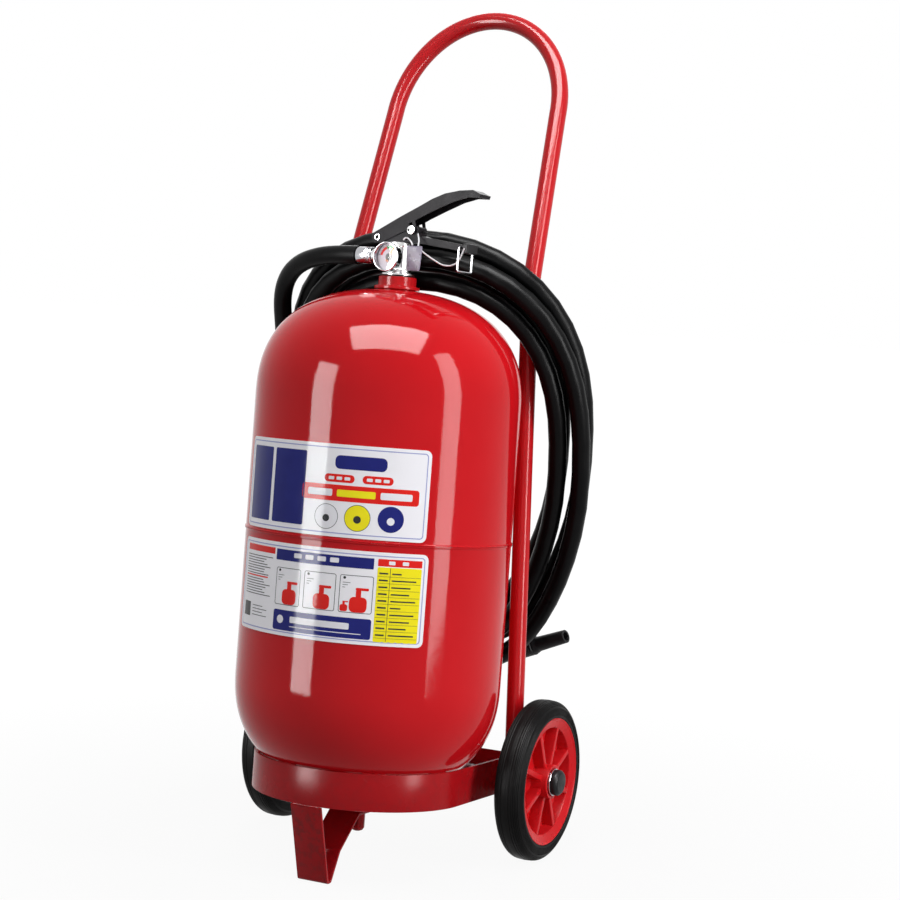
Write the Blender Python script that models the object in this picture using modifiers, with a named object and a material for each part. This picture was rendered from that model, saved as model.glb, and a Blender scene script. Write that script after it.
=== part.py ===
"""Wheeled fire extinguisher: a leaning steel cylinder in a two-wheeled tube-and-strap cart.

The cylinder and everything fixed to it are laid out in the tank frame, whose Z axis is the
cylinder's own axis. That frame leans back about the X axis. The valve has its own frame on the
neck, turned a little about the cylinder's axis. Lengths are in metres and angles in degrees.
"""

from math import asin, atan, ceil, cos, pi, radians, sin, sqrt

import bmesh
import bpy
import numpy as np
from mathutils import Matrix, Vector

# ---- Gaps -----------------------------------------------------------------------------------
GAP = 0.0003  # between pieces that touch
SHAFT_GAP = 0.0003  # around a shaft in its bore

# ---- Tank, in the tank frame ----------------------------------------------------------------
TANK_LEAN = 4.5
TANK_R = 0.140
TANK_WALL = 0.0025
TANK_BASE = 0.0782  # lowest point of the lower dome
DOME_HEIGHT = 0.118
DOME_POWER = 2.4
STRAIGHT_LENGTH = 0.2906
SEAM_ABOVE_DOME = 0.1508  # girth seam above the lower dome's edge
JOGGLE_RISE = 0.010
BEAD_RISE = 0.001
BEAD_HALF = 0.0021
NECK_R = 0.020
NECK_BORE_R = 0.015
NECK_DEPTH = 0.0148
NECK_RISE = 0.0137
NECK_FLANGE_R = 0.024
NECK_FLANGE_T = 0.0034

LABEL_HALF_ANGLE = 48.7
LABEL_T = 0.0004
LABEL_CORNER = 0.006
UPPER_LABEL_HEIGHT = 0.0919
LOWER_LABEL_HEIGHT = 0.0929
UPPER_LABEL_ABOVE_SEAM = 0.0034
LOWER_LABEL_BELOW_SEAM = 0.0083

# ---- Cart, in the tank frame ----------------------------------------------------------------
BAND_BOTTOM = 0.0750
BAND_HEIGHT = 0.0381
BAND_T = 0.0030
BAND_SEAT_GAP = 0.0005
BAND_TAIL = 0.0176  # arm behind the axle
CROSS_BAR_T = 0.0030
CROSS_BAR_HEIGHT = 0.038
CROSS_BAR_BEHIND_AXLE = 0.0108
CROSS_BAR_ABOVE_BAND = 0.004

BOSS_R = 0.012
BOSS_HEIGHT = 0.0194
BOSS_BORE_DEPTH = 0.0165
STUD_R = 0.004
WASHER_R = 0.012
WASHER_T = 0.0020
NUT_R = 0.0075
NUT_HEIGHT = 0.0200
NUT_BORE_DEPTH = 0.0130
FOOT_WIDTH = 0.0355
FOOT_T = 0.0030
FOOT_TAB_BACK = 0.022
FOOT_TAB_FRONT = 0.030
FOOT_LIMB_FORWARD = 0.0655
FOOT_LIMB_HEIGHT = 0.0232
FOOT_HEEL_FORWARD = 0.0804
FOOT_TOE_FORWARD = 0.0885

TUBE_R = 0.0095
TUBE_WALL = 0.0017
AXLE_INSET = 0.0273  # axle centre inside the tank's back
AXLE_ABOVE_BAND = 0.0198
LEG_PLAY = 0.0007  # beside the band, as the leg leans inwards
LEG_BELOW_AXLE = 0.0180
LEG_BEND_STANDOFF = 0.0057
LEG_BEND_ANGLE = 40.9
LEG_BEND_ABOVE_NECK = -0.0016
HANDLE_LEAN = 16.58
HANDLE_STRAIGHT = 0.2048
HANDLE_INSET = 0.0096
ARCH_RISE = 0.1146
BEND_FILLET = 0.10

# ---- Wheels: distances out from the hub's inner face ----------------------------------------
AXLE_R = 0.0060
WHEEL_R = 0.0860
SPACER_R = 0.0120
SPACER_LENGTH = 0.0033
BUSH_R = 0.0090
HUB_R = 0.0182
HUB_LENGTH = 0.0345
HUB_RECESS_R = 0.0152
HUB_RECESS = 0.0030
RIM_R = 0.0680
RIM_START = 0.0016
RIM_WIDTH = 0.0303
RIM_LIP = 0.0020
RIM_FLANGE_R = 0.0575
RIM_FLANGE_DROP = 0.0038
RIM_WALL = 0.0045
WEB_START = 0.0120
WEB_T = 0.0040
WEB_R = 0.0560
RIB_COUNT = 8
RIB_T = 0.0048
TYRE_START = 0.0012
TYRE_WIDTH = 0.0310
TYRE_SHOULDER = 0.0075
RETAINER_R = 0.0156
RETAINER_T = 0.0018
CAP_R = 0.0138
CAP_LENGTH = 0.0075
CAP_DEPTH = 0.0042

# ---- Valve, in the valve frame: Z from the neck's top, -Y to the gauge, +X along the lever -----
VALVE_YAW = -6.0
SEAL_T = 0.0009
VALVE_R = 0.0135
VALVE_TOP = 0.0360
VALVE_FLANGE_R = 0.0175
VALVE_FLANGE_T = 0.0022
SPIGOT_DEPTH = 0.0185
SIPHON_R = 0.0080
SIPHON_WALL = 0.0015
SIPHON_TOP = -0.0040
SIPHON_ABOVE_BASE = 0.0118
SEAT_Z = 0.0180
SEAT_T = 0.0020
SEAT_R = 0.0045
CHAMBER_R = 0.0060
CHAMBER_TOP = 0.0280
STEM_R = 0.0030
POPPET_R = 0.0076
POPPET_T = 0.0037
SPRING_R = 0.0070
SPRING_WIRE_R = 0.0006
SPRING_TURNS = 5
CURL_STEPS = 8
OUTLET_Z = 0.0220
OUTLET_R = 0.0075
OUTLET_END = 0.0320
OUTLET_BORE_R = 0.0030
OUTLET_BORE_RISE = 0.0015
COUPLING_R = 0.0090
COUPLING_LENGTH = 0.0194
COUPLING_BORE_R = 0.0045

GAUGE_Z = 0.0195
GAUGE_R = 0.0155
GAUGE_DEPTH = 0.0115
GAUGE_BACK = 0.0155
GAUGE_WALL = 0.0012
GAUGE_FLOOR = 0.0020
SHANK_R = 0.0050
SHANK_DEPTH = 0.0065
DIAL_T = 0.0006
LENS_T = 0.0012
NEEDLE_T = 0.0006
NEEDLE_HUB_R = 0.0034
NEEDLE_LENGTH = 0.0095
NEEDLE_TAIL = 0.0040
NEEDLE_HALF = 0.0008
NEEDLE_REST = 26.0
SPINDLE_R = 0.0007
SPINDLE_GAP = 0.0003

LEVER_HINGE = (-0.0228, 0.0408)
LEVER_HALF = 0.0101
SHEET_T = 0.0016
LEVER_TOP = (
    (-0.0289, 0.0449),
    (0.0038, 0.0623),
    (0.0279, 0.0742),
    (0.0421, 0.0816),
    (0.0576, 0.0875),
    (0.0756, 0.0908),
    (0.0913, 0.0915),
    (0.1010, 0.0872),
)
LEVER_UNDER = (
    (0.0998, 0.0838),
    (0.0865, 0.0842),
    (0.0699, 0.0798),
    (0.0494, 0.0712),
    (0.0290, 0.0620),
    (0.0228, 0.0588),
    (0.0248, 0.0490),
    (0.0137, 0.0490),
    (-0.0179, 0.0356),
    (-0.0262, 0.0350),
    (-0.0302, 0.0395),
)
HINGE_PIN_R = 0.0020
HINGE_HEAD_R = 0.0035
HINGE_HEAD_T = 0.0010
CARRY_HALF = 0.0082
CARRY_REAR = -0.0282
LUG_REAR = 0.0150
LUG_FRONT = 0.0268
LUG_TOP = 0.0530
GRIP_END = 0.0865
GRIP_HEIGHT = 0.0066
GRIP_DROP = 0.0078
GRIP_START = 0.0330
GRIP_CAP_LENGTH = 0.0070
GRIP_CAP_LAP = 0.0032
GRIP_CAP_WALL = 0.0014
SAFETY_PIN_AT = (0.0196, 0.0490)
SAFETY_PIN_R = 0.0016
SAFETY_HEAD_R = 0.0048
SAFETY_HEAD_T = 0.0020
SAFETY_EYE_R = 0.0011
LEVER_TRAVEL = 7.5
BAIL_WIRE_R = 0.0011
BAIL_HALF = 0.0135
BAIL_DROP = 0.0245
BAIL_BEFORE_END = 0.0050
BAIL_BELOW_TOP = 0.0033
TAG_WIDTH = 0.019
TAG_HEIGHT = 0.0255
TAG_T = 0.0012
TAG_AT = (0.0330, -0.0220, 0.0188)
SEAL_CORD_R = 0.0008
TIE_R = 0.0009

# ---- Hose -----------------------------------------------------------------------------------
HOSE_R = 0.010
LOOP_STEPS = 24
COIL_START = 150.0
COIL_TURNS = 4.378
COIL_HALF_WIDTH = 0.1832
COIL_HALF_HEIGHT = 0.2612
COIL_CENTRE_X = 0.0014
COIL_CENTRE_Z = 0.4241
COIL_LEAN_SLOPE = 0.4470
COIL_BACK = 0.0386
COIL_LEAN_PIVOT = 0.620
COIL_POWER = 2.213
COIL_EGG = 0.2486
COIL_SADDLE = 0.3510
COIL_SADDLE_X = 0.10
COIL_PITCH = 0.0267
LAYER_STEP = 0.0209
LAYER_RISE = 0.0055
LAYER_SIDE = 0.0002
HOSE_END_RUN = 0.020
LEAD_POINTS = 12
LEAD_RUN = 0.010
LEAD_PULL = 1.22
NOZZLE_LENGTH = 0.065
NOZZLE_BUTT_R = 0.0110
NOZZLE_TIP_R = 0.0075
NOZZLE_BORE_R = 0.0050
FERRULE_LENGTH = 0.022

# ---- Sizes that follow ----------------------------------------------------------------------
DOME_LOW = TANK_BASE + DOME_HEIGHT
DOME_HIGH = DOME_LOW + STRAIGHT_LENGTH
TANK_APEX = DOME_HIGH + DOME_HEIGHT
SEAM_Z = DOME_LOW + SEAM_ABOVE_DOME
NECK_TOP = TANK_APEX + NECK_RISE
BAND_TOP = BAND_BOTTOM + BAND_HEIGHT
AXLE_Y = TANK_R - AXLE_INSET
AXLE_Z = BAND_BOTTOM + AXLE_ABOVE_BAND
LEAN = radians(TANK_LEAN)
TANK_LIFT = WHEEL_R + AXLE_Y * sin(LEAN) - AXLE_Z * cos(LEAN)


def dome_radius(z, radius=TANK_R, height=DOME_HEIGHT, edge=DOME_LOW):
    """Radius of the lower dome's outside at a height in the tank frame."""
    depth = min(max((edge - z) / height, 0.0), 1.0)
    return radius * (1 - depth**DOME_POWER) ** (1 / DOME_POWER)


BAND_IN = dome_radius(BAND_TOP) + BAND_SEAT_GAP
BAND_OUT = BAND_IN + BAND_T
LEG_X = BAND_OUT + LEG_PLAY + GAP + TUBE_R
HUB_X = LEG_X + TUBE_R + SPACER_LENGTH + 2 * GAP
RETAINER_X = HUB_X + HUB_LENGTH + GAP
CAP_X = RETAINER_X + RETAINER_T + GAP
AXLE_HALF = CAP_X + CAP_DEPTH

# ---- Materials: colour, roughness, metallic -------------------------------------------------
FINISHES = {
    "red_paint": ((0.62, 0.015, 0.02), 0.22, 0.0),
    "label_film": ((0.88, 0.88, 0.92), 0.35, 0.0),
    "tyre_rubber": ((0.018, 0.017, 0.018), 0.6, 0.0),
    "wheel_plastic": ((0.66, 0.012, 0.018), 0.35, 0.0),
    "black_plastic": ((0.02, 0.02, 0.022), 0.4, 0.0),
    "black_metal": ((0.05, 0.048, 0.052), 0.38, 0.6),
    "hose_rubber": ((0.02, 0.02, 0.02), 0.5, 0.0),
    "chrome": ((0.82, 0.82, 0.84), 0.12, 1.0),
    "steel": ((0.55, 0.55, 0.56), 0.3, 1.0),
    "bright_valve": ((0.86, 0.86, 0.85), 0.25, 0.9),
    "brass": ((0.72, 0.55, 0.25), 0.3, 1.0),
    "dial_white": ((0.90, 0.90, 0.90), 0.5, 0.0),
    "needle_orange": ((0.85, 0.35, 0.05), 0.5, 0.0),
    "clear_lens": ((0.95, 0.95, 0.97), 0.05, 0.0),
    "tag_film": ((0.62, 0.58, 0.68), 0.4, 0.0),
    "seal_white": ((0.88, 0.88, 0.90), 0.5, 0.0),
    "bush_nylon": ((0.80, 0.78, 0.72), 0.5, 0.0),
}

# ---- Scene ----------------------------------------------------------------------------------
for old in list(bpy.data.objects):
    bpy.data.objects.remove(old, do_unlink=True)

parts = bpy.data.collections.new("wheeled_fire_extinguisher")
cutters = bpy.data.collections.new("cutters")
bpy.context.scene.collection.children.link(parts)
bpy.context.scene.collection.children.link(cutters)
cutters.hide_render = True


def frame(name, location, rotation=(0, 0, 0), parent=None):
    """An empty that other pieces hang from."""
    empty = bpy.data.objects.new(name, None)
    empty.empty_display_size = 0.03
    empty.location = location
    empty.rotation_euler = [radians(angle) for angle in rotation]
    empty.parent = parent
    parts.objects.link(empty)
    return empty


def finish(name):
    """The named finish as a Principled material, made once."""
    if name in bpy.data.materials:
        return bpy.data.materials[name]
    colour, roughness, metallic = FINISHES[name]
    made = bpy.data.materials.new(name)
    made.use_nodes = True
    shader = made.node_tree.nodes["Principled BSDF"]
    shader.inputs["Base Color"].default_value = (*colour, 1)
    shader.inputs["Roughness"].default_value = roughness
    shader.inputs["Metallic"].default_value = metallic
    made.diffuse_color = (*colour, 1)
    return made


def place(name, data, look, parent, location=(0, 0, 0), rotation=(0, 0, 0)):
    """A part from its mesh or curve, with its finish, under its frame."""
    part = bpy.data.objects.new(name, data)
    part.parent = parent
    part.location = location
    part.rotation_euler = [radians(angle) for angle in rotation]
    if not data.materials:
        data.materials.append(finish(look))
    parts.objects.link(part)
    return part


def smooth(part, angle=35):
    """Smooth shading that stays sharp at corners, for a round piece."""
    part.data.shade_smooth()
    part.data.set_sharp_from_angle(angle=radians(angle))


def profile_mesh(name, points, closed):
    """A profile in the XZ plane for a Screw: (radius, height) from top to bottom outside."""
    mesh = bpy.data.meshes.new(name)
    count = len(points)
    edges = [(i, i + 1) for i in range(count - 1)]
    if closed:
        edges.append((count - 1, 0))
    mesh.from_pydata([(r, 0, z) for r, z in points], edges, [])
    return mesh


def turned(name, points, look, parent, steps=24, closed=True, **where):
    """A turned piece about its own Z axis."""
    part = place(name, profile_mesh(name, points, closed), look, parent, **where)
    screw = part.modifiers.new("Turn", "SCREW")
    screw.axis = "Z"
    screw.angle = 2 * pi
    screw.steps = steps
    screw.render_steps = steps
    screw.use_merge_vertices = True
    screw.merge_threshold = 0.00002
    screw.use_smooth_shade = True
    return part


def disc(outer, inner, low, high):
    """Profile of a flat ring between two heights."""
    return [(outer, high), (outer, low), (inner, low), (inner, high)]


def frozen(part):
    """The part with its curve or modifiers turned into a plain mesh, closed at its caps."""
    graph = bpy.context.evaluated_depsgraph_get()
    mesh = bpy.data.meshes.new_from_object(part.evaluated_get(graph))
    shell = bmesh.new()
    shell.from_mesh(mesh)
    bmesh.ops.remove_doubles(shell, verts=shell.verts, dist=0.00001)
    bmesh.ops.recalc_face_normals(shell, faces=shell.faces)
    shell.to_mesh(mesh)
    shell.free()
    name = part.name
    look = part.data.materials[0]
    solid = bpy.data.objects.new(name, mesh)
    solid.parent = part.parent
    solid.matrix_basis = part.matrix_basis
    for home in part.users_collection:
        home.objects.link(solid)
    bpy.data.objects.remove(part, do_unlink=True)
    solid.name = name
    if not mesh.materials:
        mesh.materials.append(look)
    return solid


def tube(name, points, radius, look, parent, resolution=2, cyclic=False, **where):
    """A round bar or wire along a run of points."""
    curve = bpy.data.curves.new(name, "CURVE")
    curve.dimensions = "3D"
    curve.bevel_depth = radius
    curve.bevel_resolution = resolution
    curve.use_fill_caps = True
    spline = curve.splines.new("POLY")
    spline.points.add(len(points) - 1)
    for knot, point in zip(spline.points, points):
        knot.co = (*point, 1)
    spline.use_cyclic_u = cyclic
    spline.use_smooth = True
    return place(name, curve, look, parent, **where)


def slab(name, outline, half, look, parent, **where):
    """A flat outline in (X, Z), as thick as twice half, centred on its frame's XZ plane."""
    curve = bpy.data.curves.new(name, "CURVE")
    curve.dimensions = "2D"
    curve.fill_mode = "BOTH"
    curve.extrude = half
    spline = curve.splines.new("POLY")
    spline.points.add(len(outline) - 1)
    for knot, (x, z) in zip(spline.points, outline):
        knot.co = (x, z, 0, 1)
    spline.use_cyclic_u = True
    return place(name, curve, look, parent, rotation=(90, 0, 0), **where)


def ribbon(name, points, across, thickness, side, look, parent):
    """A bent strip: a line of points swept by a half width each way, thickened to one side."""
    strip = bmesh.new()
    rows = [
        (strip.verts.new(point - across), strip.verts.new(point + across)) for point in points
    ]
    for (a, b), (c, d) in zip(rows, rows[1:]):
        strip.faces.new((a, b, d, c))
    mesh = bpy.data.meshes.new(name)
    strip.to_mesh(mesh)
    strip.free()
    part = place(name, mesh, look, parent)
    sheet = part.modifiers.new("Thickness", "SOLIDIFY")
    sheet.thickness = thickness
    sheet.offset = side
    sheet.use_even_offset = True
    return part


def box(name, size, look, parent, bevel=0.0, segments=2, **where):
    """A box of the given size, with its edges rounded if asked."""
    block = bmesh.new()
    bmesh.ops.create_cube(block, size=1)
    bmesh.ops.scale(block, vec=size, verts=block.verts)
    mesh = bpy.data.meshes.new(name)
    block.to_mesh(mesh)
    block.free()
    part = place(name, mesh, look, parent, **where)
    if bevel:
        rounding = part.modifiers.new("Rounding", "BEVEL")
        rounding.width = bevel
        rounding.segments = segments
    return part


def rod(name, radius, start, end, look, parent, sides=20):
    """A round bar between two points."""
    start, end = Vector(start), Vector(end)
    bar = bmesh.new()
    bmesh.ops.create_cone(
        bar,
        cap_ends=True,
        segments=sides,
        radius1=radius,
        radius2=radius,
        depth=(end - start).length,
    )
    mesh = bpy.data.meshes.new(name)
    bar.to_mesh(mesh)
    bar.free()
    part = place(name, mesh, look, parent, location=(start + end) / 2)
    part.rotation_euler = (end - start).to_track_quat("Z", "Y").to_euler()
    smooth(part)
    return part


def combine(part, tool, operation):
    """Joins a tool to a part or cuts it out, and puts the tool with the cutters."""
    for home in list(tool.users_collection):
        home.objects.unlink(tool)
    cutters.objects.link(tool)
    tool.hide_render = True
    tool.display_type = "WIRE"
    step = part.modifiers.new(tool.name, "BOOLEAN")
    step.operation = operation
    step.solver = "EXACT"
    step.object = tool


def cut(part, tool):
    combine(part, tool, "DIFFERENCE")


def join(part, tool):
    combine(part, tool, "UNION")


def filleted(corners, radius, steps=5):
    """A run of straight lines with each inner corner rounded to a radius."""
    corners = [Vector(corner) for corner in corners]
    run = [corners[0]]
    for before, corner, after in zip(corners, corners[1:], corners[2:]):
        back, ahead = (before - corner).normalized(), (after - corner).normalized()
        turn = back.angle(ahead)
        shorter = min((before - corner).length, (after - corner).length)
        reach = min(radius / np.tan(turn / 2), 0.45 * shorter)
        first, last = corner + back * reach, corner + ahead * reach
        for i in range(steps + 1):
            t = i / steps
            run.append(first * (1 - t) ** 2 + corner * 2 * t * (1 - t) + last * t**2)
    run.append(corners[-1])
    return run


def smooth_run(points, count):
    """Points along a smooth curve through a few chosen ones."""
    points = [Vector(point) for point in points]
    ends = [2 * points[0] - points[1], *points, 2 * points[-1] - points[-2]]
    run = []
    for i in range(count + 1):
        at = i / count * (len(points) - 1)
        k = min(int(at), len(points) - 2)
        t = at - k
        a, b, c, d = ends[k : k + 4]
        bend, twist = 2 * a - 5 * b + 4 * c - d, 3 * b - a - 3 * c + d
        run.append(0.5 * (2 * b + (c - a) * t + bend * t**2 + twist * t**3))
    return run


def dome_points(radius, height, inner_r, steps):
    """(radius, height above the dome's edge) from near its middle out to its edge."""
    top = (1 - (inner_r / radius) ** DOME_POWER) ** (1 / DOME_POWER)
    start = asin(min(top, 1.0))
    points = []
    for i in range(steps + 1):
        t = sin(start * (1 - i / steps))
        r = radius * (1 - t**DOME_POWER) ** (1 / DOME_POWER)
        points.append((r, height * t))
    points[0] = (inner_r, height * top)
    return points


# ---- Frames ---------------------------------------------------------------------------------
lower_dome = dome_points(TANK_R, DOME_HEIGHT, 0.0, 8)
front_y = min((DOME_LOW - z) * sin(LEAN) - r * cos(LEAN) for r, z in lower_dome)
bend_r = TANK_R + LEG_BEND_STANDOFF
bend = Vector(
    (
        bend_r * cos(radians(LEG_BEND_ANGLE)),
        bend_r * sin(radians(LEG_BEND_ANGLE)),
        NECK_TOP + LEG_BEND_ABOVE_NECK,
    )
)
handle_way = Vector((0, sin(radians(HANDLE_LEAN)), cos(radians(HANDLE_LEAN))))
apex = Vector((0, bend.y, bend.z)) + handle_way * (HANDLE_STRAIGHT + ARCH_RISE)
rear_y = apex.y * cos(LEAN) + apex.z * sin(LEAN) + TUBE_R
CART_Y = -(front_y + rear_y) / 2

tank_frame = frame("tank_frame", (0, CART_Y, TANK_LIFT), (-TANK_LEAN, 0, 0))
axle_frame = frame("axle_frame", (0, AXLE_Y, AXLE_Z), (TANK_LEAN, 0, 0), tank_frame)
valve_frame = frame("valve_frame", (0, 0, NECK_TOP), (0, 0, VALVE_YAW), tank_frame)


# ---- Tank -----------------------------------------------------------------------------------
TANK_STEPS = 48
inner_r = TANK_R - TANK_WALL
inner_height = DOME_HEIGHT - TANK_WALL
hole_r = NECK_R + GAP
outside = dome_points(TANK_R, DOME_HEIGHT, hole_r, 10)
inside = dome_points(inner_r, inner_height, hole_r, 4)
upper_profile = [(r, DOME_HIGH + z) for r, z in outside]
upper_profile += [
    (TANK_R, SEAM_Z + BEAD_HALF),
    (TANK_R + BEAD_RISE, SEAM_Z + BEAD_HALF / 2),
    (TANK_R + BEAD_RISE, SEAM_Z + GAP / 2),
    (inner_r, SEAM_Z + GAP / 2),
]
upper_profile += [(r, DOME_HIGH + z) for r, z in reversed(inside)]
turned("tank_upper_shell", upper_profile, "red_paint", tank_frame, TANK_STEPS)

joggle_r = inner_r - GAP
inside = dome_points(inner_r, inner_height, 0.0, 4)
lower_profile = [
    (joggle_r, SEAM_Z + JOGGLE_RISE),
    (joggle_r, SEAM_Z - GAP / 2),
    (TANK_R + BEAD_RISE, SEAM_Z - GAP / 2),
    (TANK_R + BEAD_RISE, SEAM_Z - BEAD_HALF / 2),
    (TANK_R, SEAM_Z - BEAD_HALF),
]
lower_profile += [(r, DOME_LOW - z) for r, z in reversed(lower_dome)]
lower_profile += [(r, DOME_LOW - z) for r, z in inside[:-1]]
lower_profile += [
    (inner_r, DOME_LOW),
    (inner_r, SEAM_Z - TANK_WALL),
    (joggle_r - TANK_WALL, SEAM_Z),
    (joggle_r - TANK_WALL, SEAM_Z + JOGGLE_RISE),
]
turned("tank_lower_shell", lower_profile, "red_paint", tank_frame, TANK_STEPS)

turned(
    "neck_collar",
    [
        (NECK_R, NECK_TOP),
        (NECK_R, TANK_APEX + GAP + NECK_FLANGE_T),
        (NECK_FLANGE_R, TANK_APEX + GAP + NECK_FLANGE_T),
        (NECK_FLANGE_R, TANK_APEX + GAP),
        (NECK_R, TANK_APEX + GAP),
        (NECK_R, TANK_APEX - NECK_DEPTH),
        (NECK_BORE_R, TANK_APEX - NECK_DEPTH),
        (NECK_BORE_R, NECK_TOP),
    ],
    "red_paint",
    tank_frame,
    28,
)


def wrapped_label(name, low, high):
    """A plate bent round the tank's front, with rounded corners, as columns of two points."""
    radius = TANK_R + GAP
    half = radians(LABEL_HALF_ANGLE)
    corner = LABEL_CORNER / radius
    ends = [corner * (1 - cos(radians(a))) for a in (0, 22.5, 45, 67.5)]
    middle = np.linspace(-half + corner, half - corner, 27)
    angles = [-half + end for end in ends] + list(middle) + [half - end for end in reversed(ends)]
    strip = bmesh.new()
    rows = []
    for angle in angles:
        into_corner = max(0.0, corner - (half - abs(angle))) * radius
        trim = LABEL_CORNER - sqrt(max(0.0, LABEL_CORNER**2 - into_corner**2))
        trim = min(trim, (high - low) / 2 - 0.001)
        x, y = radius * sin(angle), -radius * cos(angle)
        rows.append((strip.verts.new((x, y, low + trim)), strip.verts.new((x, y, high - trim))))
    for (a, b), (c, d) in zip(rows, rows[1:]):
        strip.faces.new((a, c, d, b))
    mesh = bpy.data.meshes.new(name)
    strip.to_mesh(mesh)
    strip.free()
    mesh.shade_smooth()
    part = place(name, mesh, "label_film", tank_frame)
    film = part.modifiers.new("Thickness", "SOLIDIFY")
    film.thickness = LABEL_T
    film.offset = 1
    return part


upper_low = SEAM_Z + UPPER_LABEL_ABOVE_SEAM
lower_high = SEAM_Z - LOWER_LABEL_BELOW_SEAM
wrapped_label("upper_label", upper_low, upper_low + UPPER_LABEL_HEIGHT)
wrapped_label("lower_label", lower_high - LOWER_LABEL_HEIGHT, lower_high)

# ---- Base: band, cross bar, boss, stud and foot ---------------------------------------------
ARC_STEPS = 28
arc = [
    Vector((-BAND_IN * cos(pi * i / ARC_STEPS), -BAND_IN * sin(pi * i / ARC_STEPS), 0))
    for i in range(ARC_STEPS + 1)
]
arm_end = AXLE_Y + BAND_TAIL
band_path = [Vector((-BAND_IN, arm_end, 0)), *arc, Vector((BAND_IN, arm_end, 0))]
band_mid = Vector((0, 0, BAND_BOTTOM + BAND_HEIGHT / 2))
base_band = ribbon(
    "base_band",
    [point + band_mid for point in band_path],
    Vector((0, 0, BAND_HEIGHT / 2)),
    BAND_T,
    -1,
    "red_paint",
    tank_frame,
)
axle_reach = CAP_X
axle_way = rod(
    "axle_hole",
    AXLE_R + SHAFT_GAP,
    (-axle_reach, AXLE_Y, AXLE_Z),
    (axle_reach, AXLE_Y, AXLE_Z),
    "steel",
    tank_frame,
    20,
)
cut(base_band, axle_way)

box(
    "cross_bar",
    (2 * (BAND_IN - GAP), CROSS_BAR_T, CROSS_BAR_HEIGHT),
    "red_paint",
    tank_frame,
    location=(
        0,
        AXLE_Y + CROSS_BAR_BEHIND_AXLE + CROSS_BAR_T / 2,
        BAND_BOTTOM + CROSS_BAR_ABOVE_BAND + CROSS_BAR_HEIGHT / 2,
    ),
)

boss_top = DOME_LOW - DOME_HEIGHT * (1 - (BOSS_R / TANK_R) ** DOME_POWER) ** (1 / DOME_POWER)
boss_top = min(boss_top, TANK_BASE) - GAP
boss_low = boss_top - BOSS_HEIGHT
stud_bore = STUD_R + SHAFT_GAP
turned(
    "tank_boss",
    [
        (0, boss_top),
        (BOSS_R, boss_top),
        (BOSS_R, boss_low),
        (stud_bore, boss_low),
        (stud_bore, boss_low + BOSS_BORE_DEPTH),
        (0, boss_low + BOSS_BORE_DEPTH),
    ],
    "red_paint",
    tank_frame,
    24,
    closed=False,
)

tab_top = boss_low - GAP
tab_low = tab_top - FOOT_T
washer_top = tab_low - GAP
nut_top = washer_top - WASHER_T - GAP
nut_low = nut_top - NUT_HEIGHT
turned(
    "base_washer",
    disc(WASHER_R, stud_bore, washer_top - WASHER_T, washer_top),
    "chrome",
    tank_frame,
    24,
)
turned(
    "sleeve_nut",
    [
        (stud_bore, nut_top),
        (NUT_R, nut_top),
        (NUT_R, nut_low + NUT_R / 2),
        (0.8 * NUT_R, nut_low + NUT_R / 6),
        (0.45 * NUT_R, nut_low),
        (0, nut_low),
        (0, nut_top - NUT_BORE_DEPTH),
        (stud_bore, nut_top - NUT_BORE_DEPTH),
    ],
    "red_paint",
    tank_frame,
    12,
)
rod(
    "base_stud",
    STUD_R,
    (0, 0, nut_top - NUT_BORE_DEPTH + GAP),
    (0, 0, boss_low + BOSS_BORE_DEPTH - GAP),
    "steel",
    tank_frame,
    16,
)


def ground_z(y):
    """Height in the tank frame of the ground under a tank-frame Y."""
    return (y * sin(LEAN) - TANK_LIFT) / cos(LEAN)


toe_y, heel_y = -FOOT_TOE_FORWARD, -FOOT_HEEL_FORWARD
toe = Vector((0, toe_y, ground_z(toe_y)))
limb_end = Vector((0, -BAND_OUT - GAP, BAND_BOTTOM - GAP))
limb_way = (limb_end - toe).normalized()
limb_end -= limb_way * FOOT_T * abs(limb_way.y) / limb_way.z
foot_path = [
    Vector((0, FOOT_TAB_BACK, tab_low)),
    Vector((0, -FOOT_TAB_FRONT, tab_low)),
    Vector((0, -FOOT_LIMB_FORWARD, FOOT_LIMB_HEIGHT)),
    Vector((0, heel_y, ground_z(heel_y))),
    toe,
    limb_end,
]
foot_strap = ribbon(
    "foot_strap", foot_path, Vector((FOOT_WIDTH / 2, 0, 0)), FOOT_T, -1, "red_paint", tank_frame
)
stud_hole = rod(
    "stud_hole",
    stud_bore,
    (0, 0, tab_low - FOOT_T),
    (0, 0, tab_top + FOOT_T),
    "steel",
    tank_frame,
    16,
)
cut(foot_strap, stud_hole)

# ---- Handle tube ----------------------------------------------------------------------------
ARCH_STEPS = 18
shoulder_x = bend.x - HANDLE_INSET
leg_top = Vector((LEG_X, AXLE_Y, AXLE_Z))
leg_way = (bend - leg_top).normalized()
leg_foot = leg_top - leg_way * LEG_BELOW_AXLE
shoulder = Vector((shoulder_x, bend.y, bend.z)) + handle_way * HANDLE_STRAIGHT
right_side = filleted([leg_foot, bend, shoulder], BEND_FILLET)
arch = []
for i in range(1, ARCH_STEPS):
    angle = pi * i / ARCH_STEPS
    rise = HANDLE_STRAIGHT + ARCH_RISE * sin(angle)
    arch.append(Vector((shoulder_x * cos(angle), bend.y, bend.z)) + handle_way * rise)
left_side = [Vector((-point.x, point.y, point.z)) for point in reversed(right_side)]
handle_path = right_side + arch + left_side
handle_tube = frozen(tube("handle_tube", handle_path, TUBE_R, "red_paint", tank_frame, 3))
spill = leg_way * TUBE_R
bore_path = [leg_foot - spill, *handle_path[1:-1]]
bore_path.append(Vector((-leg_foot.x + spill.x, leg_foot.y - spill.y, leg_foot.z - spill.z)))
tube_bore = frozen(
    tube("tube_bore", bore_path, TUBE_R - TUBE_WALL, "red_paint", tank_frame, 1)
)
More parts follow.
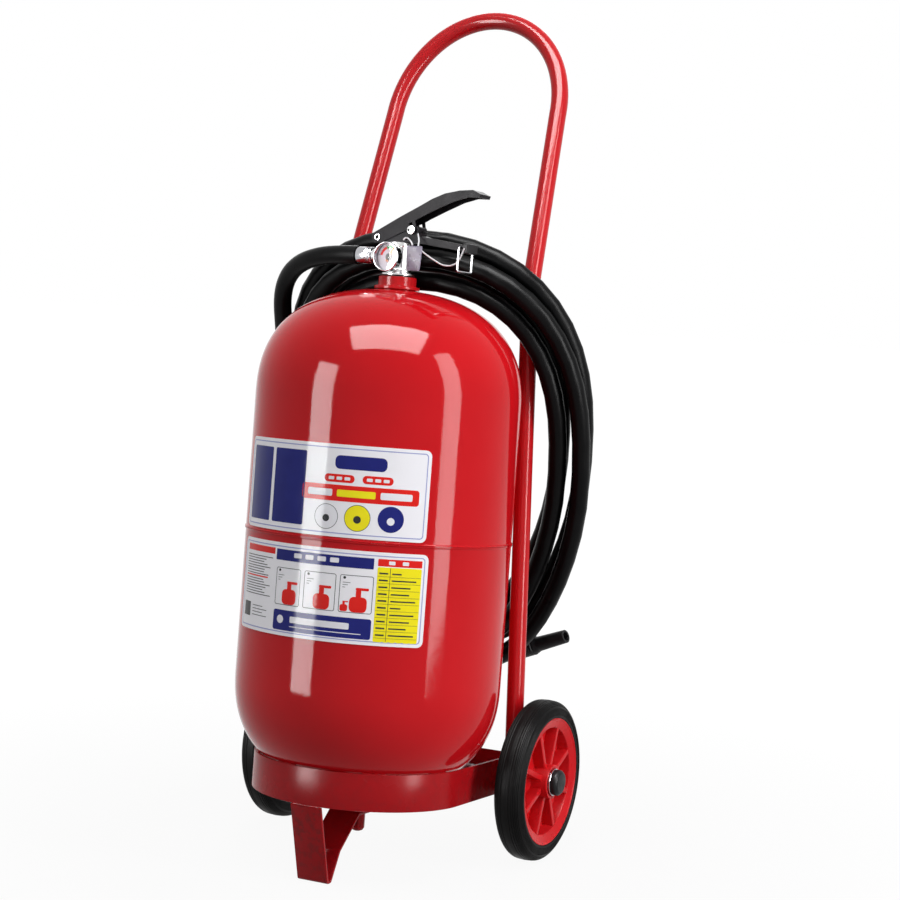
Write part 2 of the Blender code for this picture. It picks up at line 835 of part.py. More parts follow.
cut(handle_tube, tube_bore)
leg_holes = rod(
    "leg_holes",
    AXLE_R + SHAFT_GAP,
    (-axle_reach, AXLE_Y, AXLE_Z),
    (axle_reach, AXLE_Y, AXLE_Z),
    "steel",
    tank_frame,
    20,
)
cut(handle_tube, leg_holes)

# ---- Axle and wheels ------------------------------------------------------------------------
rod("axle", AXLE_R, (-AXLE_HALF, 0, 0), (AXLE_HALF, 0, 0), "steel", axle_frame, 20)

bore_r = AXLE_R + SHAFT_GAP
rim_end = RIM_START + RIM_WIDTH
flange_z = rim_end - RIM_FLANGE_DROP
hub_bore = BUSH_R + GAP
rim_profile = [
    (RIM_R, rim_end),
    (RIM_R, RIM_START),
    (RIM_R - RIM_WALL, RIM_START),
    (WEB_R - RIM_WALL / 2, WEB_START),
    (HUB_R, WEB_START),
    (HUB_R, 0),
    (hub_bore, 0),
    (hub_bore, HUB_LENGTH - HUB_RECESS),
    (HUB_RECESS_R, HUB_LENGTH - HUB_RECESS),
    (HUB_RECESS_R, HUB_LENGTH),
    (HUB_R, HUB_LENGTH),
    (HUB_R, WEB_START + WEB_T),
    (WEB_R, WEB_START + WEB_T),
    (RIM_FLANGE_R, flange_z),
    (RIM_R - RIM_LIP, rim_end - RIM_LIP / 2),
    (RIM_R - RIM_LIP / 2, rim_end),
]
tyre_in = RIM_R + GAP
tyre_end = TYRE_START + TYRE_WIDTH
tyre_mid = TYRE_START + TYRE_WIDTH / 2
tyre_profile = [
    (tyre_in, tyre_end),
    (tyre_in + 0.35 * TYRE_SHOULDER, tyre_end),
    (WHEEL_R - TYRE_SHOULDER, tyre_end - 0.10 * TYRE_SHOULDER),
    (WHEEL_R - 0.45 * TYRE_SHOULDER, tyre_end - 0.45 * TYRE_SHOULDER),
    (WHEEL_R - 0.10 * TYRE_SHOULDER, tyre_end - TYRE_SHOULDER),
    (WHEEL_R, tyre_mid),
    (WHEEL_R - 0.10 * TYRE_SHOULDER, TYRE_START + TYRE_SHOULDER),
    (WHEEL_R - 0.45 * TYRE_SHOULDER, TYRE_START + 0.45 * TYRE_SHOULDER),
    (WHEEL_R - TYRE_SHOULDER, TYRE_START + 0.10 * TYRE_SHOULDER),
    (tyre_in, TYRE_START),
]
cap_bore = CAP_DEPTH + GAP
cap_profile = [
    (0, CAP_LENGTH),
    (0.80 * CAP_R, CAP_LENGTH),
    (CAP_R, CAP_LENGTH - 0.2 * CAP_R),
    (CAP_R, 0),
    (bore_r, 0),
    (bore_r, cap_bore),
    (0, cap_bore),
]


def rib_set(name):
    """The ribs of one wheel, as one mesh that is joined to the turned rim."""
    length = RIM_FLANGE_R - HUB_RECESS_R - 0.0012
    height = flange_z - WEB_START - WEB_T / 2
    ribs = bmesh.new()
    for i in range(RIB_COUNT):
        turn = Matrix.Rotation(2 * pi * (i + 0.5) / RIB_COUNT, 4, "Z")
        out = Matrix.Translation((RIM_FLANGE_R - length / 2, 0, flange_z - height / 2))
        size = Matrix.Diagonal((length, RIB_T, height, 1))
        bmesh.ops.create_cube(ribs, size=1, matrix=turn @ out @ size)
    mesh = bpy.data.meshes.new(name)
    ribs.to_mesh(mesh)
    ribs.free()
    return mesh


WHEEL_STEPS = 36
rib_mesh = rib_set("ribs")
for side, sign in (("left", -1), ("right", 1)):
    seat = {"location": (sign * HUB_X, 0, 0), "rotation": (0, sign * 90, 0)}
    rim = turned(f"{side}_rim", rim_profile, "wheel_plastic", axle_frame, WHEEL_STEPS, **seat)
    ribs = place(f"{side}_ribs", rib_mesh, "wheel_plastic", axle_frame, **seat)
    join(rim, ribs)
    turned(f"{side}_tyre", tyre_profile, "tyre_rubber", axle_frame, WHEEL_STEPS, **seat)
    turned(
        f"{side}_bush",
        disc(BUSH_R, bore_r, 0, HUB_LENGTH - HUB_RECESS),
        "bush_nylon",
        axle_frame,
        20,
        **seat,
    )
    turned(
        f"{side}_spacer",
        disc(SPACER_R, bore_r, 0, SPACER_LENGTH),
        "steel",
        axle_frame,
        20,
        location=(sign * (HUB_X - GAP - SPACER_LENGTH), 0, 0),
        rotation=(0, sign * 90, 0),
    )
    turned(
        f"{side}_retainer",
        disc(RETAINER_R, bore_r, 0, RETAINER_T),
        "chrome",
        axle_frame,
        24,
        location=(sign * RETAINER_X, 0, 0),
        rotation=(0, sign * 90, 0),
    )
    turned(
        f"{side}_axle_cap",
        cap_profile,
        "black_plastic",
        axle_frame,
        24,
        closed=False,
        location=(sign * CAP_X, 0, 0),
        rotation=(0, sign * 90, 0),
    )

# ---- Valve body, seal, siphon, stem and spring ----------------------------------------------
seat_low = GAP + SEAL_T + GAP
flange_top = seat_low + VALVE_FLANGE_T
spigot_r = NECK_BORE_R - GAP
siphon_bore = SIPHON_R + GAP
stem_bore = STEM_R + SHAFT_GAP
valve_body = turned(
    "valve_body",
    [
        (VALVE_R, VALVE_TOP),
        (VALVE_R, flange_top),
        (VALVE_FLANGE_R, flange_top),
        (VALVE_FLANGE_R, seat_low),
        (spigot_r, seat_low),
        (spigot_r, -SPIGOT_DEPTH),
        (siphon_bore, -SPIGOT_DEPTH),
        (siphon_bore, SEAT_Z),
        (SEAT_R, SEAT_Z),
        (SEAT_R, SEAT_Z + SEAT_T),
        (CHAMBER_R, SEAT_Z + SEAT_T),
        (CHAMBER_R, CHAMBER_TOP),
        (stem_bore, CHAMBER_TOP),
        (stem_bore, VALVE_TOP),
    ],
    "bright_valve",
    valve_frame,
    28,
)
boss_root = (VALVE_R + siphon_bore) / 2
outlet_boss = rod(
    "outlet_boss",
    OUTLET_R,
    (-OUTLET_END, 0, OUTLET_Z),
    (-boss_root, 0, OUTLET_Z),
    "bright_valve",
    valve_frame,
    20,
)
join(valve_body, outlet_boss)
outlet_bore_z = OUTLET_Z + OUTLET_BORE_RISE
outlet_bore = rod(
    "outlet_bore",
    OUTLET_BORE_R,
    (-OUTLET_END - OUTLET_R, 0, outlet_bore_z),
    (-CHAMBER_R / 2, 0, outlet_bore_z),
    "bright_valve",
    valve_frame,
    12,
)
cut(valve_body, outlet_bore)
shank_end = -GAUGE_BACK + SHANK_DEPTH
gauge_socket = rod(
    "gauge_socket",
    SHANK_R + GAP,
    (0, -GAUGE_BACK - GAUGE_DEPTH, GAUGE_Z),
    (0, shank_end + GAP, GAUGE_Z),
    "bright_valve",
    valve_frame,
    16,
)
cut(valve_body, gauge_socket)
gauge_port = rod(
    "gauge_port",
    SHANK_R / 4,
    (0, shank_end - SHANK_R, SEAT_Z - SHANK_R / 2),
    (0, -CHAMBER_R, SEAT_Z - SHANK_R / 2),
    "bright_valve",
    valve_frame,
    8,
)
cut(valve_body, gauge_port)

turned(
    "valve_seal",
    disc(VALVE_FLANGE_R - GAP, spigot_r + GAP, GAP, GAP + SEAL_T),
    "hose_rubber",
    valve_frame,
    24,
)
siphon_low = TANK_BASE + SIPHON_ABOVE_BASE - NECK_TOP
turned(
    "siphon_tube",
    disc(SIPHON_R, SIPHON_R - SIPHON_WALL, siphon_low, SIPHON_TOP),
    "bush_nylon",
    valve_frame,
    16,
)
lever_slope = atan((LEVER_TOP[1][1] - LEVER_TOP[0][1]) / (LEVER_TOP[1][0] - LEVER_TOP[0][0]))
web_under = LEVER_TOP[0][1] + (-STEM_R - LEVER_TOP[0][0]) * np.tan(lever_slope)
web_under -= SHEET_T / cos(lever_slope)
stem_top = web_under - GAP
poppet_top = SEAT_Z - GAP
turned(
    "valve_stem",
    [
        (0, stem_top),
        (STEM_R, stem_top),
        (STEM_R, poppet_top),
        (POPPET_R, poppet_top),
        (POPPET_R, poppet_top - POPPET_T),
        (0, poppet_top - POPPET_T),
    ],
    "brass",
    valve_frame,
    16,
    closed=False,
)
spring_low = SIPHON_TOP + SPRING_WIRE_R + GAP
spring_high = poppet_top - POPPET_T - SPRING_WIRE_R - GAP
spring_points = []
for i in range(SPRING_TURNS * CURL_STEPS + 1):
    angle = 2 * pi * i / CURL_STEPS
    height = spring_low + (spring_high - spring_low) * i / (SPRING_TURNS * CURL_STEPS)
    spring_points.append((SPRING_R * cos(angle), SPRING_R * sin(angle), height))
tube("valve_spring", spring_points, SPRING_WIRE_R, "steel", valve_frame, 1)

coupling_start = -OUTLET_END - GAP
turned(
    "hose_coupling",
    [
        (COUPLING_R - 0.0006, COUPLING_LENGTH),
        (COUPLING_R, COUPLING_LENGTH - 0.0008),
        (COUPLING_R, 0.0008),
        (COUPLING_R - 0.0006, 0),
        (COUPLING_BORE_R, 0),
        (COUPLING_BORE_R, COUPLING_LENGTH),
    ],
    "chrome",
    valve_frame,
    24,
    location=(coupling_start, 0, OUTLET_Z),
    rotation=(0, -90, 0),
)

# ---- Gauge ----------------------------------------------------------------------------------
gauge_frame = frame("gauge_frame", (0, -GAUGE_BACK, GAUGE_Z), (90, 0, 0), valve_frame)
cup_r = GAUGE_R - GAUGE_WALL
spindle_bore = SPINDLE_R + SPINDLE_GAP
spindle_low = GAUGE_FLOOR / 2
turned(
    "gauge_case",
    [
        (GAUGE_R - 0.0008, GAUGE_DEPTH),
        (GAUGE_R, GAUGE_DEPTH - 0.0010),
        (GAUGE_R, 0.0010),
        (GAUGE_R - 0.0010, 0),
        (SHANK_R, 0),
        (SHANK_R, -SHANK_DEPTH),
        (0, -SHANK_DEPTH),
        (0, spindle_low - GAP),
        (spindle_bore, spindle_low - GAP),
        (spindle_bore, GAUGE_FLOOR),
        (cup_r, GAUGE_FLOOR),
        (cup_r, GAUGE_DEPTH),
    ],
    "chrome",
    gauge_frame,
    28,
)
dial_low = GAUGE_FLOOR + GAP
dial_top = dial_low + DIAL_T
turned(
    "gauge_dial",
    disc(cup_r - GAP, spindle_bore, dial_low, dial_top),
    "dial_white",
    gauge_frame,
    28,
)
lens_low = GAUGE_DEPTH - LENS_T - 0.0010
turned(
    "gauge_lens",
    [(0, lens_low + LENS_T), (cup_r - GAP, lens_low + LENS_T), (cup_r - GAP, lens_low), (0, lens_low)],
    "clear_lens",
    gauge_frame,
    28,
    closed=False,
)
needle_low = dial_top + 2 * GAP
needle_frame = frame("needle_frame", (0, 0, needle_low), (0, 0, -NEEDLE_REST), gauge_frame)
needle_top = NEEDLE_T + 0.0006
gauge_needle = turned(
    "gauge_needle",
    [
        (0, needle_top),
        (NEEDLE_HUB_R, needle_top),
        (NEEDLE_HUB_R, 0),
        (SPINDLE_R, 0),
        (SPINDLE_R, spindle_low - needle_low),
        (0, spindle_low - needle_low),
    ],
    "needle_orange",
    needle_frame,
    16,
    closed=False,
)
pointer = box(
    "pointer",
    (2 * NEEDLE_HALF, NEEDLE_LENGTH + NEEDLE_TAIL, NEEDLE_T),
    "needle_orange",
    needle_frame,
    location=(0, (NEEDLE_LENGTH - NEEDLE_TAIL) / 2, NEEDLE_T / 2 + 0.0003),
)
join(gauge_needle, pointer)

# ---- Lever, carry handle and their pins -----------------------------------------------------
operating_lever = frozen(
    slab(
        "operating_lever",
        [*LEVER_TOP, *LEVER_UNDER],
        LEVER_HALF,
        "black_metal",
        valve_frame,
    )
)


def lowered(points, by):
    """A line of points moved down square to its run."""
    moved = []
    for i, (x, z) in enumerate(points):
        before = points[max(i - 1, 0)]
        after = points[min(i + 1, len(points) - 1)]
        way = Vector((after[0] - before[0], after[1] - before[1])).normalized()
        moved.append((x + way.y * by, z - way.x * by))
    return moved


web_inside = lowered(LEVER_TOP[:-1], SHEET_T)
rear, front = web_inside[0], web_inside[-1]
run_back = (Vector(LEVER_TOP[0]) - Vector(LEVER_TOP[1])).normalized() * LEVER_HALF
channel_outline = [
    (rear[0] + run_back.x, rear[1] + run_back.y),
    *web_inside,
    (LEVER_UNDER[0][0] - SHEET_T, front[1] - SHEET_T),
    (LEVER_UNDER[0][0] - SHEET_T, LEVER_HINGE[1] - 0.03),
    (rear[0] + run_back.x, LEVER_HINGE[1] - 0.03),
]
cheek_in = LEVER_HALF - SHEET_T
lever_channel = frozen(
    slab("lever_channel", channel_outline, cheek_in, "black_metal", valve_frame)
)
cut(operating_lever, lever_channel)
lever_bore = rod(
    "lever_bore",
    HINGE_PIN_R + SHAFT_GAP,
    (LEVER_HINGE[0], -2 * LEVER_HALF, LEVER_HINGE[1]),
    (LEVER_HINGE[0], 2 * LEVER_HALF, LEVER_HINGE[1]),
    "steel",
    valve_frame,
    16,
)
cut(operating_lever, lever_bore)

# The cheeks straddle the safety pin with an open slot, an arc about the hinge.
pin_arm = Vector((SAFETY_PIN_AT[0] - LEVER_HINGE[0], SAFETY_PIN_AT[1] - LEVER_HINGE[1]))
slot_half = SAFETY_PIN_R + 2 * SHAFT_GAP
slot_inner, slot_outer = [], []
for i in range(-3, 6):
    turn = radians(LEVER_TRAVEL + 3.0) * i / 5
    arm = Matrix.Rotation(turn, 2) @ pin_arm
    way = arm.normalized()
    centre = Vector(LEVER_HINGE) + arm
    slot_inner.append(centre - way * slot_half)
    slot_outer.append(centre + way * slot_half)
pin_slot = frozen(
    slab(
        "pin_slot",
        [tuple(point) for point in slot_inner + slot_outer[::-1]],
        2 * LEVER_HALF,
        "black_metal",
        valve_frame,
    )
)
cut(operating_lever, pin_slot)

web_low = VALVE_TOP + GAP
grip_top_start = web_low + 0.0062
grip_top_end = grip_top_start - GRIP_DROP
carry_outline = [
    (CARRY_REAR, web_low),
    (LUG_FRONT, web_low),
    (GRIP_START, grip_top_start - GRIP_HEIGHT - 0.0010),
    (GRIP_END, grip_top_end - GRIP_HEIGHT),
    (GRIP_END, grip_top_end),
    (GRIP_START, grip_top_start),
    (LUG_FRONT, grip_top_start + 0.0020),
    (LUG_FRONT, LUG_TOP - 0.0015),
    (LUG_FRONT - 0.0015, LUG_TOP),
    (LUG_REAR + 0.0015, LUG_TOP),
    (LUG_REAR, LUG_TOP - 0.0030),
    (LEVER_HINGE[0] + 0.0060, LEVER_HINGE[1] + 0.0050),
    (LEVER_HINGE[0], LEVER_HINGE[1] + 0.0040),
    (CARRY_REAR, LEVER_HINGE[1] + 0.0008),
]
carry_handle = frozen(
    slab("carry_handle", carry_outline, CARRY_HALF, "black_metal", valve_frame)
)
carry_in = CARRY_HALF - SHEET_T
saddle_pocket = box(
    "saddle_pocket",
    (LUG_FRONT - SHEET_T - CARRY_REAR + 0.01, 2 * carry_in, 0.04),
    "black_metal",
    valve_frame,
    location=(
        (LUG_FRONT - SHEET_T + CARRY_REAR - 0.01) / 2,
        0,
        web_low + SHEET_T + 0.02,
    ),
)
cut(carry_handle, saddle_pocket)
grip_pocket = frozen(
    slab(
        "grip_pocket",
        [
            (GRIP_START + SHEET_T, grip_top_start - SHEET_T),
            (GRIP_START + SHEET_T, grip_top_start - 0.03),
            (GRIP_END + 0.01, grip_top_start - 0.04),
            (GRIP_END + 0.01, grip_top_end - SHEET_T - GRIP_DROP * 0.01 / (GRIP_END - GRIP_START)),
        ],
        carry_in,
        "black_metal",
        valve_frame,
    )
)
cut(carry_handle, grip_pocket)
stem_hole = rod(
    "stem_hole",
    stem_bore + GAP,
    (0, 0, VALVE_TOP - 0.005),
    (0, 0, VALVE_TOP + 0.005),
    "steel",
    valve_frame,
    16,
)
cut(carry_handle, stem_hole)
bail_x = GRIP_END - BAIL_BEFORE_END
grip_fall = GRIP_DROP / (GRIP_END - GRIP_START)
bail_z = grip_top_end + grip_fall * BAIL_BEFORE_END - BAIL_BELOW_TOP
for name, (x, z), radius in (
    ("carry_hinge_bore", LEVER_HINGE, HINGE_PIN_R + SHAFT_GAP),
    ("carry_pin_bore", SAFETY_PIN_AT, SAFETY_PIN_R + SHAFT_GAP),
    ("carry_bail_bore", (bail_x, bail_z), BAIL_WIRE_R + SHAFT_GAP),
):
    bore = rod(name, radius, (x, -0.02, z), (x, 0.02, z), "steel", valve_frame, 14)
    cut(carry_handle, bore)

hinge_frame = frame("hinge_frame", (LEVER_HINGE[0], 0, LEVER_HINGE[1]), (90, 0, 0), valve_frame)
head_z = LEVER_HALF + GAP
turned(
    "lever_pin",
    [
        (HINGE_PIN_R * 0.7, head_z + HINGE_HEAD_T * 0.4),
        (HINGE_PIN_R, head_z + HINGE_HEAD_T),
        (HINGE_HEAD_R, head_z + HINGE_HEAD_T),
        (HINGE_HEAD_R, head_z),
        (HINGE_PIN_R, head_z),
        (HINGE_PIN_R, -head_z),
        (HINGE_HEAD_R, -head_z),
        (HINGE_HEAD_R, -head_z - HINGE_HEAD_T),
        (0, -head_z - HINGE_HEAD_T),
        (0, head_z + HINGE_HEAD_T * 0.4),
    ],
    "chrome",
    hinge_frame,
    16,
)
pin_frame = frame(
    "pin_frame", (SAFETY_PIN_AT[0], 0, SAFETY_PIN_AT[1]), (90, 0, 0), valve_frame
)
safety_pin = turned(
    "safety_pin",
    [
        (0, head_z + SAFETY_HEAD_T),
        (SAFETY_HEAD_R - 0.0004, head_z + SAFETY_HEAD_T),
        (SAFETY_HEAD_R, head_z + SAFETY_HEAD_T - 0.0004),
        (SAFETY_HEAD_R, head_z),
        (SAFETY_PIN_R, head_z),
        (SAFETY_PIN_R, -head_z - SAFETY_PIN_R),
        (SAFETY_PIN_R * 0.6, -head_z - 1.6 * SAFETY_PIN_R),
        (0, -head_z - 1.6 * SAFETY_PIN_R),
    ],
    "chrome",
    pin_frame,
    16,
    closed=False,
)
eye = rod(
    "pin_eye",
    SAFETY_EYE_R,
    (-SAFETY_HEAD_R / 2, 0, head_z - 0.001),
    (-SAFETY_HEAD_R / 2, 0, head_z + SAFETY_HEAD_T + 0.001),
    "chrome",
    pin_frame,
    10,
)
cut(safety_pin, eye)

cap_z = grip_top_end - GRIP_HEIGHT / 2
cap_centre = GRIP_END - GRIP_CAP_LAP + GRIP_CAP_LENGTH / 2
cap_size = (
    GRIP_CAP_LENGTH,
    2 * (CARRY_HALF + GAP + GRIP_CAP_WALL),
    GRIP_HEIGHT + 2 * (GAP + GRIP_CAP_WALL) + grip_fall * GRIP_CAP_LAP,
)
grip_cap = box(
    "grip_cap",
    cap_size,
    "black_plastic",
    valve_frame,
    bevel=GRIP_CAP_WALL * 0.9,
    location=(cap_centre, 0, cap_z),
)
cap_pocket = box(
    "cap_pocket",
    (
        2 * (GRIP_CAP_LAP + GAP),
        2 * (CARRY_HALF + GAP),
        GRIP_HEIGHT + 2 * GAP + grip_fall * GRIP_CAP_LAP,
    ),
    "black_plastic",
    valve_frame,
    location=(GRIP_END - GRIP_CAP_LAP, 0, cap_z),
)
cut(grip_cap, cap_pocket)

bail_frame = frame("bail_frame", (bail_x, 0, bail_z), (0, 0, 0), valve_frame)
bail_corners = [
    (0, -BAIL_HALF, 0),
    (0, BAIL_HALF, 0),
    (0, BAIL_HALF, -BAIL_DROP),
    (0, -BAIL_HALF, -BAIL_DROP),
]
tube("hose_bail", bail_corners, BAIL_WIRE_R, "chrome", bail_frame, 2, cyclic=True)

# ---- Seal: tag, cord, loop and tie ----------------------------------------------------------
box(
    "seal_tag",
    (TAG_WIDTH, TAG_T, TAG_HEIGHT),
    "tag_film",
    valve_frame,
    bevel=TAG_T * 0.3,
    segments=1,
    location=TAG_AT,
)
cord_y = -CARRY_HALF - SEAL_CORD_R - GAP
tag_back = TAG_AT[1] + TAG_T / 2 + SEAL_CORD_R + GAP
cord_route = [
    (LUG_FRONT + 0.0007, cord_y, 0.0450),
    (0.0330, -0.0150, 0.0380),
    (0.0370, tag_back, 0.0300),
    (0.0450, -0.0185, 0.0235),
    (0.0550, -0.0160, 0.0175),
    (0.0630, -0.0125, 0.0135),
    (0.0720, -0.0105, 0.0135),
    (0.0800, -0.0100, 0.0185),
    (0.0868, -cap_size[1] / 2 - SEAL_CORD_R - GAP, cap_z),
]
tube("seal_cord", smooth_run(cord_route, 22), SEAL_CORD_R, "seal_white", valve_frame, 1)
tag_top = TAG_AT[2] + TAG_HEIGHT / 2
loop_route = [
    (0.0100, cord_y, web_low + 0.0025),
    (0.0150, -0.0145, 0.0402),
    (0.0215, -0.0190, 0.0396),
    (0.0275, -0.0215, 0.0360),
    (0.0300, TAG_AT[1], tag_top + GAP + SEAL_CORD_R / 2),
]
tube("seal_loop", smooth_run(loop_route, 10), SEAL_CORD_R, "seal_white", valve_frame, 1)
tie_route = [
    (LUG_FRONT + GAP, 0, 0.0480),
    (0.0380, 0, 0.0462),
    (0.0480, 0, 0.0458),
    (0.0576, 0, 0.0472),
]
tube("seal_tie", smooth_run(tie_route, 8), TIE_R, "black_plastic", valve_frame, 1)


# ---- Hose -----------------------------------------------------------------------------------
def coil_point(turns):
    """A point of the coil after so many turns: two layers, wound in and out again."""
    half = (COIL_TURNS - 0.5) / 2
    if turns < half:
        inset = turns * COIL_PITCH
    elif turns < half + 0.5:
        inset = half * COIL_PITCH
    else:
        inset = (COIL_TURNS - turns) * COIL_PITCH
    layer = 0.5 - 0.5 * cos(pi * min(max((turns - half) / 0.5, 0), 1))
    angle = radians(COIL_START) + 2 * pi * turns
    across, up = cos(angle), sin(angle)
    half_width = COIL_HALF_WIDTH * (1 + COIL_EGG * up) - inset
    x = half_width * np.sign(across) * abs(across) ** (2 / COIL_POWER)
    x += COIL_CENTRE_X + layer * LAYER_SIDE
    w = (COIL_HALF_HEIGHT - inset) * np.sign(up) * abs(up) ** (2 / COIL_POWER)
    w += layer * LAYER_RISE
    lean = atan(COIL_LEAN_SLOPE)
    y = COIL_BACK + (COIL_LEAN_PIVOT - COIL_CENTRE_Z) * COIL_LEAN_SLOPE
    y += layer * LAYER_STEP * cos(lean) - w * sin(lean)
    y += COIL_SADDLE * (x * x - COIL_SADDLE_X**2)
    z = COIL_CENTRE_Z + w * cos(lean) + layer * LAYER_STEP * sin(lean)
    return Vector((x, y, z))


coil_turns = [i / LOOP_STEPS for i in range(ceil(COIL_TURNS * LOOP_STEPS))] + [COIL_TURNS]
coil_points = [coil_point(turns) for turns in coil_turns]
start_way = (coil_points[1] - coil_points[0]).normalized()
end_way = (coil_points[-1] - coil_points[-2]).normalized()
coil_entry = coil_points[0] - start_way * HOSE_END_RUN
coil_exit = coil_points[-1] + end_way * HOSE_END_RUN
coil_points = [coil_entry, *coil_points, coil_exit]
tube("hose_coil", coil_points, HOSE_R, "hose_rubber", tank_frame, 1)


def least_gap(points, radius, apart):
    """The least clear gap between stretches of one tube that lie further apart along it."""
    line = np.array([tuple(point) for point in points])
    fine = np.concatenate(
        [line[:-1] + (line[1:] - line[:-1]) * t for t in np.linspace(0, 1, 4, endpoint=False)]
    )
    order = np.concatenate([np.arange(len(line) - 1) + t for t in np.linspace(0, 1, 4, endpoint=False)])
    offsets = np.linalg.norm(fine[:, None] - fine[None], axis=2)
    far = np.abs(order[:, None] - order[None]) > apart
    return offsets[far].min() - 2 * radius


self_gap = least_gap(coil_points, HOSE_R, LOOP_STEPS / 2)
print(f"least gap of the coil to itself: {1000 * self_gap:.2f} mm")
coil_length = sum((b - a).length for a, b in zip(coil_points, coil_points[1:]))

yaw = Matrix.Rotation(radians(VALVE_YAW), 3, "Z")
lead_way = yaw @ Vector((-1, 0, 0))
lead_start = yaw @ Vector((coupling_start - COUPLING_LENGTH - GAP, 0, OUTLET_Z))
lead_start.z += NECK_TOP
lead_end = coil_entry - start_way * GAP
run_a = lead_start + lead_way * LEAD_RUN
run_b = lead_end - start_way * LEAD_RUN
pull = (run_b - run_a).length * LEAD_PULL
lead_points = [lead_start]
for i in range(LEAD_POINTS + 1):
    t = i / LEAD_POINTS
    h = (2 * t**3 - 3 * t**2 + 1, t**3 - 2 * t**2 + t, 3 * t**2 - 2 * t**3, t**3 - t**2)
    lead_points.append(run_a * h[0] + lead_way * pull * h[1] + run_b * h[2] + start_way * pull * h[3])
lead_points.append(lead_end)
tube("hose_lead", lead_points, HOSE_R, "hose_rubber", tank_frame, 2)
lead_length = sum((b - a).length for a, b in zip(lead_points, lead_points[1:]))
print(f"hose: lead {lead_length:.3f} m, coil {coil_length:.3f} m")

nozzle = turned(
    "nozzle",
    [
        (NOZZLE_TIP_R, NOZZLE_LENGTH),
        (NOZZLE_TIP_R + 0.0012, FERRULE_LENGTH + 0.004),
        (NOZZLE_BUTT_R, FERRULE_LENGTH),
        (NOZZLE_BUTT_R, 0),
        (NOZZLE_BORE_R, 0),
        (NOZZLE_BORE_R, NOZZLE_LENGTH),
    ],
    "black_plastic",
    tank_frame,
    20,
    location=coil_exit + end_way * GAP,
)
nozzle.rotation_euler = end_way.to_track_quat("Z", "Y").to_euler()

bpy.context.view_layer.update()
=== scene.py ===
"""Looks of the wheeled fire extinguisher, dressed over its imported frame.

Lengths are in metres and angles in degrees. The tank frame is the leaning cylinder's own frame, the
axle frame stands level on the axle, and the valve frame is turned a little on the cylinder's neck.
"""

from math import asin, atan, ceil, cos, degrees, pi, radians, sin, sqrt

import bmesh
import bpy
import numpy as np
from mathutils import Matrix, Vector


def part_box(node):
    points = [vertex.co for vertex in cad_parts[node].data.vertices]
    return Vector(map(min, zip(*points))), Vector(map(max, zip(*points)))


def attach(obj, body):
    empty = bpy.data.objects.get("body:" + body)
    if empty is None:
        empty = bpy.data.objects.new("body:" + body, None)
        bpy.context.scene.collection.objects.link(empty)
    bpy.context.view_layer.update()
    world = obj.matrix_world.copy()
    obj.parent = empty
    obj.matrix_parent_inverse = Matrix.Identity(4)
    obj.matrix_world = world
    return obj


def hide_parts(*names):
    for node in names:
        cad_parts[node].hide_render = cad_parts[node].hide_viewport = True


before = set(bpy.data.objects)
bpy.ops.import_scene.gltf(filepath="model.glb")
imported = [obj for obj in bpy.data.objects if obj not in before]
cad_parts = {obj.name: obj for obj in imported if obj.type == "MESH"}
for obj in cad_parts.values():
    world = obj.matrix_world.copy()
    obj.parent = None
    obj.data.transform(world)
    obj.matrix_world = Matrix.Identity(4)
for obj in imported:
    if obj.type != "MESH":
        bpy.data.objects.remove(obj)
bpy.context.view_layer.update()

GAP = 0.0003
SAME_PLACE = 0.000002

# ---- Tank, in the tank frame ----------------------------------------------------------------
TANK_LEAN = 4.5
TANK_R = 0.140
TANK_WALL = 0.0025
DOME_HEIGHT = 0.118
DOME_POWER = 2.4
DOME_LOW = 0.1962
DOME_HIGH = 0.4868
SEAM_Z = 0.3470
BEAD_RISE = 0.001
BEAD_HALF = 0.0021
TANK_APEX = DOME_HIGH + DOME_HEIGHT
NECK_TOP = 0.6185
NECK_R = 0.020
NECK_BORE_R = 0.015
NECK_FLANGE_R = 0.024
NECK_FLANGE_T = 0.0034
NECK_TAIL = 0.0148
LABEL_T = 0.0004
LABEL_CORNER = 0.006
UPPER_LABEL = (0.3504, 0.4423)
LOWER_LABEL = (0.2458, 0.3387)
LABEL_LEFT = -45.3
UPPER_RIGHT = 47.6
LOWER_RIGHT = 49.4
BORDER_IN = 0.0032
BORDER_WIDTH = 0.0011
INK_T = 0.00008

# ---- Cart -----------------------------------------------------------------------------------
AXLE_Y = 0.1127
AXLE_Z = 0.0948
BAND_BOTTOM = 0.0750
BAND_HEIGHT = 0.0381
BAND_T = 0.0030
BAND_TAIL = 0.0176
BAND_SEAT_GAP = 0.0005
CROSS_BAR_T = 0.0030
CROSS_BAR_HEIGHT = 0.038
CROSS_BAR_BEHIND_AXLE = 0.0108
CROSS_BAR_ABOVE_BAND = 0.004
TANK_BASE = 0.0782
BOSS_HEIGHT = 0.0194
FOOT_WIDTH = 0.0355
FOOT_T = 0.0030
FOOT_TOE = 0.0885
FOOT_HEEL = 0.0804
TUBE_R = 0.0095
LEG_PLAY = 0.0007
LEG_BELOW_AXLE = 0.0180
LEG_BEND_STANDOFF = 0.0057
LEG_BEND_ANGLE = 40.9
LEG_BEND_BELOW_NECK = 0.0016
HANDLE_LEAN = 16.58
HANDLE_STRAIGHT = 0.2048
HANDLE_INSET = 0.0096
ARCH_RISE = 0.1146
BEND_FILLET = 0.10
WELD_SIDES = 8

